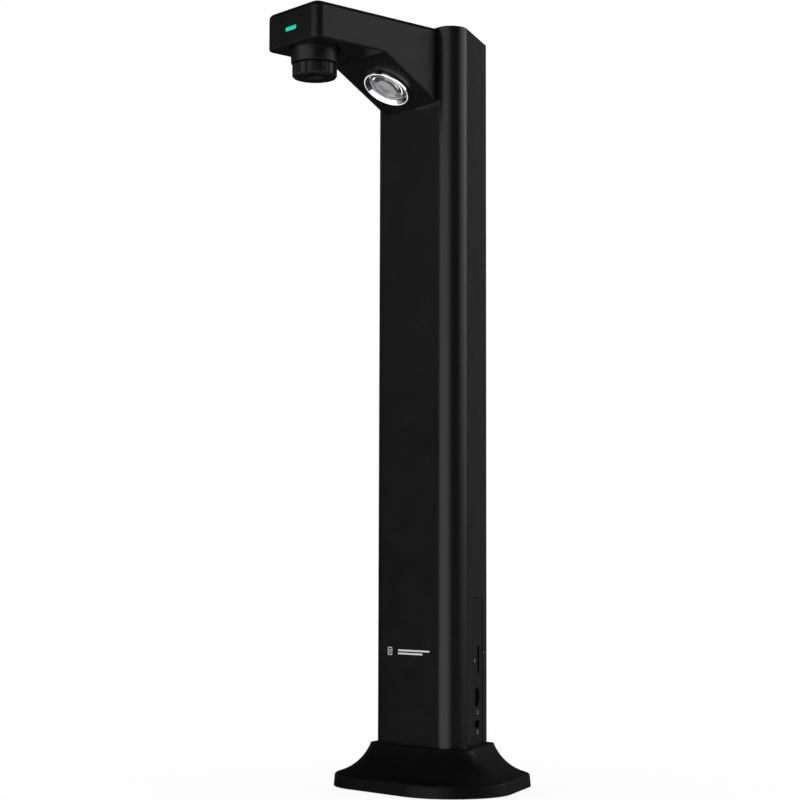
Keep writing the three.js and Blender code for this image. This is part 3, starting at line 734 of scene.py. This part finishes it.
def make_column_rear():
    seam = rear_low.y
    outside = [edge_point(seam, 0)] + back_corner(0, 10)
    inside = [edge_point(seam, WALL)] + back_corner(-WALL, 5)
    shell = column_shell("column_rear_casing", outside, inside)
    boss = [(0, BOSS_FRONT), (BOSS_R, BOSS_FRONT), (BOSS_R, BACK_Y - 1), (0, BACK_Y - 1)]
    seat = BACK_Y - HEAD_HOLE_DEEP
    hole = [
        (0, 10), (SCREW_HOLE_R, 10), (SCREW_HOLE_R, seat), (HEAD_HOLE_R, seat), (HEAD_HOLE_R, BACK_Y - 0.3),
        (HEAD_HOLE_MOUTH_R, BACK_Y + 0.1), (HEAD_HOLE_MOUTH_R, BACK_Y + 3), (0, BACK_Y + 3),
    ]
    bosses = []
    holes = []
    for node in SCREW_NODES:
        along = at(0, 0, cad_middle(node).z) @ TO_BACK
        bosses.append(turned("boss", boss, along, 32))
        holes.append(turned("hole", hole, along, 48))
    boolean(shell, bosses, "UNION")
    window = rounded(box_outline(*PANEL_HOLE), PANEL_CORNER_R)
    boolean(shell, holes + [plate("window", window, -6, 3, place=SIDE_FACE @ YZ)])
    finish_piece(shell, COLUMN_PLASTIC, "column_plastic", "column_rear_shell")


CAP_GAP = 0.3
CAP_EDGE = 0.35


def make_top_cap():
    low, high = cad_box("column_top_cap")
    steps = levels(low.z, high.z, SHELL_EDGE, CAP_EDGE)
    rings = [at_height(column_plan(-WALL - CAP_GAP - pull), z) for pull, z in steps]
    cap = mesh_from_rings("column_top", rings)
    finish_piece(cap, COLUMN_PLASTIC, "column_plastic", "column_top_cap")


# ---------- base

BASE_WALL = 1.9
cover_low, cover_high = cad_box("base_cover")
FLARE = cover_high.x - (FRONT_CENTRE[0] + FRONT_CORNER_R)  # the rim's reach from the column
SWEEP_R = 24.2
SWEEP_CENTRE = (25.8, 30.3)  # (out from the column, height)
SWEEP_FROM = 77.5  # degrees, at the rim
SWEEP_TO = 24.0
RIM_HIGH = 6.35
RIM_LEAN = 0.55
RIM_EDGE = 1.3
COLLAR_EDGE = 0.9
COLLAR_GAP = 0.3
COLLAR_LOW = 8.4


def sweep(steps):
    """The concave flare's profile as (out, height), from the rim's top to the collar."""
    return arc(SWEEP_CENTRE, SWEEP_R, 180 + SWEEP_FROM, 180 + SWEEP_TO, steps)


def make_base():
    rim_low = cover_low.z
    top = cover_high.z
    flare = sweep(16)
    rim = [(FLARE - 0.7, rim_low), (FLARE, rim_low), (FLARE - RIM_LEAN, RIM_HIGH), flare[1]]
    outer = rounded(rim, [0, 0.2, RIM_EDGE, 0], closed=False)
    outer += flare[2:]
    outer += arc((flare[-1][0] - 0.75, top - COLLAR_EDGE), COLLAR_EDGE, 25, 90, 5)
    lip = [(1.0, top), (COLLAR_GAP + 0.15, top - 0.2), (COLLAR_GAP, top - 0.6)]
    inner = [(COLLAR_GAP, COLLAR_LOW), (2.0, COLLAR_LOW), (2.0, 17.0)]
    under = [(out - BASE_WALL, z - BASE_WALL) for out, z in reversed(flare) if z < 17.5]
    rim_inside = [(FLARE - BASE_WALL, 4.0), (FLARE - BASE_WALL, rim_low)]
    profile = outer + lip + inner + under + rim_inside
    rings = [at_height(column_plan(out, steps=36, back_steps=24), z) for out, z in profile]
    skirt = mesh_from_rings("base_skirt", rings, closed_loop=True)
    finish_piece(skirt, BASE_PLASTIC, "base_plastic", "base_cover", sharp=40)


def make_feet():
    """Round pads with a shallow hollow in the middle."""
    for node in ("foot_front_left", "foot_front_right", "foot_rear_left", "foot_rear_right"):
        low, high = cad_box(node)
        middle = cad_middle(node)
        place = at(middle.x, middle.y, low.z)
        radius, top = high.x - middle.x, high.z - low.z
        corners = [(0, 0.35), (2.6, 0.35), (2.9, 0.0), (radius - 0.3, 0.0), (radius, top), (0, top)]
        profile = rounded(corners, [0, 0.1, 0.1, 0.35, 0.25, 0], closed=False, steps=3)
        foot = turned(node + "_pad", profile, place, 64)
        finish_piece(foot, FOOT_RUBBER, "foot_rubber", node)


# ---------- screws


SCREW_HEAD_R = 2.7
BASE_SCREW_NODES = [f"base_screw_{i}" for i in range(1, 5)]


def make_screw(node, place, length, head_h, shank_r):
    """A pan-head screw of that whole length with a cross recess: its head below head_h, its shank above."""
    corners = [
        (0, 0), (SCREW_HEAD_R * 0.55, 0), (SCREW_HEAD_R, head_h * 0.55), (SCREW_HEAD_R, head_h),
        (shank_r, head_h), (shank_r, length - 0.4), (shank_r - 0.4, length), (0, length),
    ]
    radii = [0, SCREW_HEAD_R * 0.4, 0.35, 0.12, 0.1, 0.1, 0.1, 0]
    screw = turned(node + "_pan_head", rounded(corners, radii, closed=False, steps=4), place, 48)
    wing = SCREW_HEAD_R * 0.62
    slot_half = SCREW_HEAD_R * 0.13
    cross = []
    for angle in (0, 90):
        turn = Matrix.Rotation(radians(angle), 4, "Z")
        outline = rounded(box_outline(-wing, wing, -slot_half, slot_half), slot_half * 0.8, steps=3)
        cross.append(plate("cross", outline, -1, head_h * 0.6, place=place @ turn))
    boolean(screw, cross)
    finish_piece(screw, BLACK_STEEL, "screw_steel", node)


def make_screws():
    for node in SCREW_NODES:
        low, high = cad_box(node)
        middle = cad_middle(node)
        place = at(middle.x, high.y, middle.z) @ TO_FRONT
        make_screw(node, place, high.y - low.y, head_h=1.8, shank_r=1.25)
    for node in BASE_SCREW_NODES:
        low, high = cad_box(node)
        middle = cad_middle(node)
        make_screw(node, at(middle.x, middle.y, low.z), high.z - low.z, head_h=1.3, shank_r=1.4)


def make_bottom_plate():
    low, high = cad_box("base_bottom_plate")
    grow = high.x - (FRONT_CENTRE[0] + FRONT_CORNER_R)
    bottom = plate("base_underside", column_plan(grow, 28, 20), low.z, high.z, 0.4, 0.2)
    mouth, seat = low.z, low.z + 1.6
    hole = [(0, 0), (3.3, 0), (3.3, mouth), (3.0, mouth + 0.3), (3.0, seat), (1.7, seat), (1.7, 9), (0, 9)]
    holes = []
    for node in BASE_SCREW_NODES:
        middle = cad_middle(node)
        holes.append(turned("hole", hole, at(middle.x, middle.y, 0), 40))
    boolean(bottom, holes)
    finish_piece(bottom, BASE_PLASTIC, "base_plastic", "base_bottom_plate")


# ---------- arm

ARM_WALL = 1.6
ARM_CORNER_R = 4.5
SLANT_FOOT = 332.7  # height where the slanted underside meets the column
BEND_REACH = 33.7  # from the column's front to the bend in the underside
BEND_HALF = 0.7  # half the length over which the underside bends
arm_low, arm_high = cad_box("arm_upper_shell")
ARM_HALF = arm_high.x
ARM_FRONT = arm_low.y
ARM_BACK = arm_high.y
ARM_TOP = arm_high.z + 0.7  # the photo shows it a little above the CAD
ARM_UNDER = cad_box("lens_barrel")[1].z - 3.3  # the barrel's collar is inside the arm
BEND_Y = FRONT_Y - BEND_REACH
SLANT = atan2(ARM_UNDER - SLANT_FOOT, BEND_REACH)


def under_z(y, lift=0.0):
    """Height of the arm's underside at y, or of a surface lift millimetres inside it."""
    past = y - BEND_Y - lift * tan(SLANT / 2)
    if abs(past) < BEND_HALF:
        past = (past + BEND_HALF) ** 2 / (4 * BEND_HALF)
    return ARM_UNDER + lift - max(0.0, past) * tan(SLANT)


def arm_plan(pull, back=ARM_BACK):
    """The arm's outline moved in by pull except at the back, with extra points where the underside bends."""
    corner = ARM_CORNER_R - pull
    radius = max(corner, 0.3)
    centre = (ARM_HALF - ARM_CORNER_R + corner - radius, ARM_FRONT + ARM_CORNER_R - corner + radius)
    right = arc(centre, radius, -90, 0, 14)
    bends = [BEND_Y + BEND_HALF * i / 3 for i in range(-3, 5)]
    right += [(ARM_HALF - pull, y) for y in bends + [back]]
    return right + mirrored(right)


def along_underside(plan, rise=0.0, lift=0.0):
    """The plan as a ring that is rise above the underside, or above the surface lift inside it."""
    return [(x, y, under_z(y, lift) + rise) for x, y in plan]


ARM_EDGE = 2.6
ARM_LOWER_EDGE = 0.9
ARM_LIP = 0.25  # bevel of the wall's lower inner edge
MIC_HOLE_R = 0.6
MIC_MOUTH_R = 0.8
PILL_HALF = 4.15
PILL_R = 0.98
PILL_GAP = 0.12


def make_arm_casing():
    wall_top = ARM_TOP - ARM_WALL
    wall_back = ARM_BACK - 1
    rings = [at_height(arm_plan(ARM_WALL, wall_back), wall_top)]
    rings.append(along_underside(arm_plan(ARM_WALL, wall_back), ARM_LIP))
    rings.append(along_underside(arm_plan(ARM_WALL - ARM_LIP, wall_back + ARM_LIP)))
    rings += [along_underside(arm_plan(pull), rise) for pull, rise in edge_steps(ARM_LOWER_EDGE)]
    rings += [at_height(arm_plan(pull), ARM_TOP - drop) for pull, drop in reversed(edge_steps(ARM_EDGE, 6))]
    casing = mesh_from_rings("arm_casing", rings, bent=True)
    pill = moved(pill_outline(PILL_HALF + PILL_GAP, PILL_R + PILL_GAP), 0, cad_middle("status_light_pipe").z)
    holes = [plate("window", pill, -ARM_FRONT - 3, -ARM_FRONT + 2, place=XZ)]
    mic_hole = [(0, -2), (MIC_MOUTH_R, -2), (MIC_MOUTH_R, -0.1), (MIC_HOLE_R, 0.2), (MIC_HOLE_R, 3), (0, 3)]
    for node in ("microphone_left", "microphone_right"):
        middle = cad_middle(node)
        holes.append(turned("hole", mic_hole, at(middle.x, ARM_FRONT, middle.z) @ TO_BACK, 24))
    half = ARM_HALF - ARM_WALL
    opening = box_outline(-half, half, ARM_BACK - 3, ARM_BACK + 3)
    holes.append(plate("window", opening, SLANT_FOOT - 10, wall_top))
    boolean(casing, holes)
    # the column's plastic, darkened as painted shade
    finish_piece(casing, ARM_PLASTIC_PAINTED_SHADE, "column_plastic", "arm_upper_shell", sharp=35)


LAMP_ALONG = 21.35  # from the bend down the slant to the lamp's middle
LAMP_MIDDLE = at(0, BEND_Y + LAMP_ALONG * cos(SLANT), ARM_UNDER - LAMP_ALONG * sin(SLANT))
LAMP = LAMP_MIDDLE @ Matrix.Rotation(-SLANT, 4, "X")  # z into the arm, square to the slanted underside
LENS = at(0, cad_middle("focus_ring").y, 0)
COVER_GAP = 0.15


def make_arm_cover():
    pull = ARM_WALL + COVER_GAP
    rings = [along_underside(arm_plan(pull + extra), rise) for extra, rise in edge_steps(0.3, 3)]
    rings.append(along_underside(arm_plan(pull), lift=ARM_WALL))
    cover = mesh_from_rings("arm_underside", rings, bent=True)
    lens_hole = [(0, -4), (12.5, -4), (12.5, -0.05), (12.1, 0.35), (12.1, 5), (0, 5)]
    lamp_hole = [(0, -5), (11.5, -5), (11.5, -0.05), (11.3, 0.2), (11.3, 8), (0, 8)]
    lens_foot = LENS @ at(0, 0, ARM_UNDER)
    boolean(cover, [turned("hole", lens_hole, lens_foot), turned("hole", lamp_hole, LAMP)])
    finish_piece(cover, COVER_PLASTIC, "column_plastic", "arm_lower_cover", sharp=28)


def make_status_light():
    low, high = cad_box("status_light_pipe")
    pill = moved(pill_outline(PILL_HALF, PILL_R), 0, cad_middle("status_light_pipe").z)
    light = plate("status_light", pill, -high.y, -low.y - 0.05, 0.0, 0.25, place=XZ)
    finish_piece(light, STATUS_GREEN, "status_green", "status_light_pipe")


# ---------- lens


def make_barrel():
    low, high = cad_box("lens_barrel")
    seat = ARM_UNDER + ARM_WALL + 0.2
    foot = cad_box("focus_ring")[1].z + 0.4
    inside = foot + 1.6
    corners = [
        (5.4, low.z), (7.2, low.z), (7.2, foot), (10.7, foot), (11.2, foot + 0.3), (11.35, foot + 3),
        (11.5, ARM_UNDER), (11.6, seat), (12.7, seat), (12.7, high.z), (9.9, high.z), (9.9, inside),
        (7.0, inside), (7.0, high.z), (5.4, high.z),
    ]
    radii = [0.1, 0.2, 0.1, 0.3, 0.4, 0, 0.15, 0.05, 0.2, 0.2, 0.2, 0.2, 0.2, 0.2, 0.1]
    barrel = turned("lens_barrel_body", rounded(corners, radii, steps=4), LENS, 128)
    finish_piece(barrel, LENS_PLASTIC, "lens_plastic", "lens_barrel")


FLUTES = 18
FLUTE_DEPTH = 0.55
FLUTE_HALF = 2.6  # degrees
GRIP_DEPTH = 1.3  # only points this near the outside are fluted


def make_focus_ring():
    low, high = cad_box("focus_ring")
    outer = (high.x - low.x) / 2
    z0, z1 = low.z, high.z
    corners = [
        (outer, z1), (outer, z0 + 0.9), (outer - 0.6, z0), (9.1, z0), (8.7, z0 + 0.25), (6.4, z0 + 0.85),
        (6.2, z0 + 0.55), (5.4, z0 + 0.75), (5.2, z0 + 1.2), (4.6, z0 + 1.6), (4.6, z0 + 3.3),
        (7.5, z0 + 3.3), (7.5, z1),
    ]
    radii = [0.3, 0.6, 0.3, 0.15, 0.2, 0.1, 0.1, 0.1, 0.1, 0.15, 0.1, 0.1, 0.1]
    profile = rounded(corners, radii, steps=5)

    def reach(angle, radius):
        if radius < outer - GRIP_DEPTH:
            return radius
        pitch = 360 / FLUTES
        away = abs((degrees(angle) + pitch / 2) % pitch - pitch / 2)
        bite = max(0.0, 1 - (away / FLUTE_HALF) ** 2) ** 0.5 if away < FLUTE_HALF else 0.0
        return min(radius, outer - FLUTE_DEPTH * bite)

    ring = turned("focus_ring_grip", profile, LENS, FLUTES * 24, reach)
    finish_piece(ring, LENS_PLASTIC, "lens_plastic", "focus_ring", body="focus_ring", sharp=38)


def make_lens_cell():
    low, high = cad_box("lens_cell")
    z = low.z
    corners = [
        (3.3, z), (4.2, z), (4.2, z + 4.9), (5.1, z + 5.1), (5.1, high.z), (4.2, high.z), (4.2, z + 7.1),
        (3.8, z + 7.1), (3.8, z + 0.5), (3.35, z + 0.5),
    ]
    cell = turned("lens_cell_tube", rounded(corners, 0.12, steps=3), LENS, 72)
    finish_piece(cell, LENS_PLASTIC, "lens_plastic", "lens_cell", body="lens_cell")
    make_lens_element("front_element", "front_lens")
    make_lens_element("rear_element", "rear_lens")


def make_lens_element(name, node):
    """A glass lens, domed below and above."""
    low, high = cad_box(node)
    radius = (high.x - low.x) / 2
    sag = 0.24 * (high.z - low.z)
    angles = [i * 0.13 for i in range(12)]
    profile = [(radius * sin(a), low.z + sag * (1 - cos(a * 1.2))) for a in angles]
    profile += [(radius, low.z + sag * 1.3), (radius, high.z - sag)]
    profile += [(radius * 0.7, high.z - sag * 0.35), (radius * 0.35, high.z - 0.02), (0, high.z)]
    element = turned(name, profile, LENS, 64)
    finish_piece(element, LENS_GLASS, "lens_glass", node, body="lens_cell", sharp=40)


# ---------- lamp


DOME_R = 9.2
DOME_RISE = 3.2
DOME_RIM = -0.4  # height of the dome's edge


def make_bezel():
    corners = [
        (9.4, -0.55), (11.2, -2.0), (11.6, -2.0), (12.0, -1.4), (12.0, -0.3), (11.0, -0.3), (11.0, 3.2),
        (10.4, 3.2), (10.4, -0.5),
    ]
    radii = [0.05, 0.15, 0.2, 0.4, 0.1, 0.1, 0.1, 0.1, 0.05]
    bezel = turned("lamp_ring", rounded(corners, radii, steps=5), LAMP, 128)
    finish_piece(bezel, CHROME, "lamp_chrome", "lamp_bezel")
    RIM_LIT.objects.link(bezel)


def make_reflector():
    bowl_out = [(10.2, 1.5), (8.4, 5.2), (5.0, 8.6), (3.6, 8.6)]
    bowl_in = [(3.6, 8.1), (4.8, 8.0), (7.4, 4.9), (9.4, 1.5)]
    reflector = turned("lamp_bowl", rounded(bowl_out + bowl_in, 0.8, steps=6), LAMP, 128)
    finish_piece(reflector, SATIN_CHROME, "lamp_chrome", "lamp_reflector")
    DISH_LIT.objects.link(reflector)


def make_lamp_dome():
    sphere_r = (DOME_R**2 + DOME_RISE**2) / (2 * DOME_RISE)
    centre = (0, DOME_RIM - DOME_RISE + sphere_r)
    dome = arc(centre, sphere_r, -90, -90 + degrees(asin(DOME_R / sphere_r)), 18)
    edge = [dome[-1], (10.1, DOME_RIM), (10.1, 1.2), (0, 1.2)]
    rim = rounded(edge, [0, 0.2, 0.2, 0], closed=False, steps=3)
    lens = turned("lamp_dome", [(0, DOME_RIM - DOME_RISE)] + dome[1:-1] + rim, LAMP, 128)
    finish_piece(lens, LAMP_GLASS, "lamp_glass", "lamp_lens", sharp=50)
    DISH_LIT.objects.link(lens)


def make_lamp_led():
    corners = [(0, 6.6), (1.2, 6.8), (2.1, 7.8), (2.2, 9.4), (0, 9.4)]
    profile = rounded(corners, [0, 0.8, 0.5, 0.1, 0], closed=False, steps=4)
    led = turned("lamp_emitter", profile, LAMP, 48)
    finish_piece(led, LED_YELLOW, "lamp_led_yellow", "lamp_led")


# ---------- sockets

# Places on the side face are (y, z) in its own frame, and depths are x, with 0 on the face.
ON_SIDE = SIDE_FACE @ YZ
CARD_AT = (19.35, 62.15)
CARD_OPENING = (3.1, 13.05)  # across and up
CARD_SOCKET_AT = (19.3, 62.15)
POWER_AT = (17.35, 44.4)
USB_AT = (17.3, 31.4)
USB_OPENING = (7.8, 3.1)
POWER_HOLE_R = 4.5
POWER_AXIS = SIDE_FACE @ at(0, *POWER_AT) @ TO_RIGHT
PANEL_FACE = -0.25
PANEL_BACK = -3.7
PANEL_GAP = 0.3
PANEL_REAR_GAP = 0.1
SOCKET_FRONT = -2.1


def side_outline(middle, wide, tall, corner):
    y, z = middle
    box = box_outline(y - wide / 2, y + wide / 2, z - tall / 2, z + tall / 2)
    return rounded(box, corner, steps=4)


def edged_opening(outline, edge):
    """A cutter through the panel that widens by edge at its face."""
    rings = []
    for pull, x in ((0, -6), (0, PANEL_FACE - edge), (-edge, PANEL_FACE + 0.01), (-edge, 1)):
        rings.append([ON_SIDE @ Vector((*p, x)) for p in inset(outline, pull)])
    return mesh_from_rings("hole", rings)


def make_ports_panel():
    hole_front, hole_rear, hole_low, hole_high = PANEL_HOLE
    middle = ((hole_front + PANEL_GAP + hole_rear - PANEL_REAR_GAP) / 2, (hole_low + hole_high) / 2)
    wide = hole_rear - hole_front - PANEL_GAP - PANEL_REAR_GAP
    tall = hole_high - hole_low - 2 * PANEL_GAP
    face = side_outline(middle, wide, tall, PANEL_CORNER_R - 0.2)
    panel = plate("ports_plate", face, PANEL_BACK, PANEL_FACE, 0.1, 0.25, ON_SIDE)
    flange = side_outline(middle, wide + 3.6, tall + 3.6, 0.6)
    boolean(panel, [plate("flange", flange, PANEL_BACK, -2.5, 0.1, 0.1, ON_SIDE)], "UNION")
    pocket = side_outline(middle, wide - 2.4, tall - 2.4, 0.5)
    edge = 0.35
    bore, mouth = POWER_HOLE_R, POWER_HOLE_R + edge
    power_hole = [
        (0, -6), (bore, -6), (bore, PANEL_FACE - edge), (mouth, PANEL_FACE + 0.01), (mouth, 1), (0, 1),
    ]
    boolean(panel, [
        plate("pocket", pocket, -5, -1.75, place=ON_SIDE),
        edged_opening(side_outline(CARD_AT, *CARD_OPENING, 0.5), 0.12),
        edged_opening(side_outline(USB_AT, *USB_OPENING, 1.2), 0.2),
        turned("hole", power_hole, POWER_AXIS, 64),
    ])
    finish_piece(panel, PORTS_PLASTIC, "ports_plastic", "ports_panel")


def make_power_jack():
    body = plate("dc_jack_body", side_outline(POWER_AT, 8, 9, 0.6), -13.3, SOCKET_FRONT, 0.1, 0.25, ON_SIDE)
    mouth = [(0, -11.5), (3.1, -11.5), (3.1, -2.5), (3.5, -2.05), (3.5, 1), (0, 1)]
    boolean(body, [turned("hole", mouth, POWER_AXIS, 48)])
    finish_piece(body, HIDDEN_PLASTIC, "chip_black", "dc_jack")
    corners = [(0, -13.1), (1.0, -13.1), (1.0, -3.4), (0, -3.4)]
    pin = rounded(corners, [0, 0, 0.7, 0], closed=False, steps=5)
    finish_piece(turned("dc_jack_contact", pin, POWER_AXIS, 32), BRASS, "contact_brass", "dc_jack_pin")


def make_socket_shell(name, node, middle, wide, tall, back, wall, corner):
    """A sheet metal box, open at the front."""
    outer = side_outline(middle, wide, tall, corner)
    inner = side_outline(middle, wide - 2 * wall, tall - 2 * wall, corner - wall * 0.6)
    shell = plate(name, outer, back, SOCKET_FRONT, 0.05, 0.1, ON_SIDE)
    boolean(shell, [plate("hollow", inner, back + 1, 1, place=ON_SIDE)])
    finish_piece(shell, PLATED_STEEL, "plain_steel", node)


def make_sockets():
    make_power_jack()
    make_socket_shell(
        "micro_usb_shell", "micro_usb_socket", USB_AT, wide=7.5, tall=2.8, back=-8, wall=0.35, corner=0.9
    )
    make_socket_shell(
        "card_slot_shell", "card_socket", CARD_SOCKET_AT, wide=3, tall=14.4, back=-17, wall=0.5, corner=0.5
    )
    outline = side_outline(USB_AT, 3.8, 0.6, 0.2)
    tongue = plate("micro_usb_contact_tongue", outline, -6.7, -3, 0.05, 0.1, ON_SIDE)
    finish_piece(tongue, HIDDEN_PLASTIC, "chip_black", "micro_usb_tongue")


# ---------- printed signs

INK = 0.04  # thickness


def print_shapes(name, outlines, low, place, ink=SIGN_GREY, slot="ports_plastic"):
    """Thin raised ink shapes, joined into one piece."""
    parts = []
    for i, outline in enumerate(outlines):
        parts.append(plate(f"{name}_{i}", outline, low, low + INK, 0.0, INK * 0.4, place, steps=2))
    if len(parts) > 1:
        with bpy.context.temp_override(active_object=parts[0], selected_editable_objects=parts):
            bpy.ops.object.join()
    whole = parts[0]
    whole.name = name
    finish_piece(whole, ink, slot)


def make_signs():
    """A card with a clipped corner, a line over two dashes, an arrow on a bar, and a dot."""
    card = [(-0.65, -0.8), (0.65, -0.8), (0.65, 0.4), (0.25, 0.8), (-0.65, 0.8)]
    line = box_outline(-1.7, 1.7, 0.5, 0.8)
    dashes = [box_outline(start, start + 1.3, -0.8, -0.2) for start in (-1.7, 0.4)]
    arrow = [[(0, 1.1), (-1.3, 0), (1.3, 0)], box_outline(-1.3, 1.3, -1.1, -0.5)]
    for name, shapes, across, up in (
        ("sign_card", [card], 13.35, 62.05),
        ("sign_power", [line] + dashes, 18.1, 37.0),
        ("sign_data", arrow, 18.0, 27.7),
    ):
        print_shapes(name, [moved(shape, across, up) for shape in shapes], PANEL_FACE, ON_SIDE)
    print_shapes("sign_dot", [arc((27.9, 65.2), 0.55, 0, 345, 23)], 0.0, ON_SIDE, slot="column_plastic")


MARK_Z = 66.1
PAGE_X = -14.4
PAGE_HALF = 1.4  # to the middle of the page's frame
FRAME_THICK = 0.35
BAR_HALF_THICK = 0.42


def make_front_mark():
    """A plain mark on the column's front: a page with three lines, beside two bars."""
    half = FRAME_THICK / 2
    page = [box_outline(side - half, side + half, -1.7, 1.7) for side in (-PAGE_HALF, PAGE_HALF)]
    page += [box_outline(-PAGE_HALF - half, PAGE_HALF + half, low, low + FRAME_THICK) for low in (1.55, -1.9)]
    page += [box_outline(-PAGE_HALF / 2, PAGE_HALF / 2, low, low + 0.3) for low in (0.55, -0.15, -0.85)]
    upper = moved(pill_outline(11.5, BAR_HALF_THICK, 6), 3.0, MARK_Z + 0.55)
    lower = moved(pill_outline(9, BAR_HALF_THICK, 6), 0.5, MARK_Z - 0.95)
    shapes = [moved(shape, PAGE_X, MARK_Z) for shape in page] + [upper, lower]
    print_shapes("front_mark", shapes, -FRONT_Y, XZ, SIGN_WHITE, "column_plastic")


# ---------- carried-over CAD nodes

CARRIED = {
    PLATED_STEEL: [
        "base_ballast", "spine_bolt_left", "spine_bolt_right", "spine_foot", "column_spine", "arm_bracket",
    ],
    BLACK_STEEL: ["arm_screw_front", "arm_screw_rear", "bracket_bolt_left", "bracket_bolt_right"],
    ALLOY: ["microphone_left", "microphone_right", "lamp_board", "lamp_heat_sink"],
    BOARD: ["main_board", "camera_board", "status_board"],
    HIDDEN_PLASTIC: ["processor_chip", "lens_mount", "image_sensor"],
    RIBBON: ["camera_ribbon"],
    LEAD_BLACK: ["lamp_lead"],
    LED_YELLOW: ["status_led"],
}


def dress_cad_nodes():
    for look, nodes in CARRIED.items():
        for node in nodes:
            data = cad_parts[node].data
            data.materials.clear()
            data.materials.append(look)


make_column_front()
make_column_rear()
make_top_cap()
make_base()
make_feet()
make_screws()
make_bottom_plate()
make_arm_casing()
make_arm_cover()
make_status_light()
make_barrel()
make_focus_ring()
make_lens_cell()
make_bezel()
make_reflector()
make_lamp_dome()
make_lamp_led()
make_ports_panel()
make_sockets()
make_signs()
make_front_mark()
dress_cad_nodes()
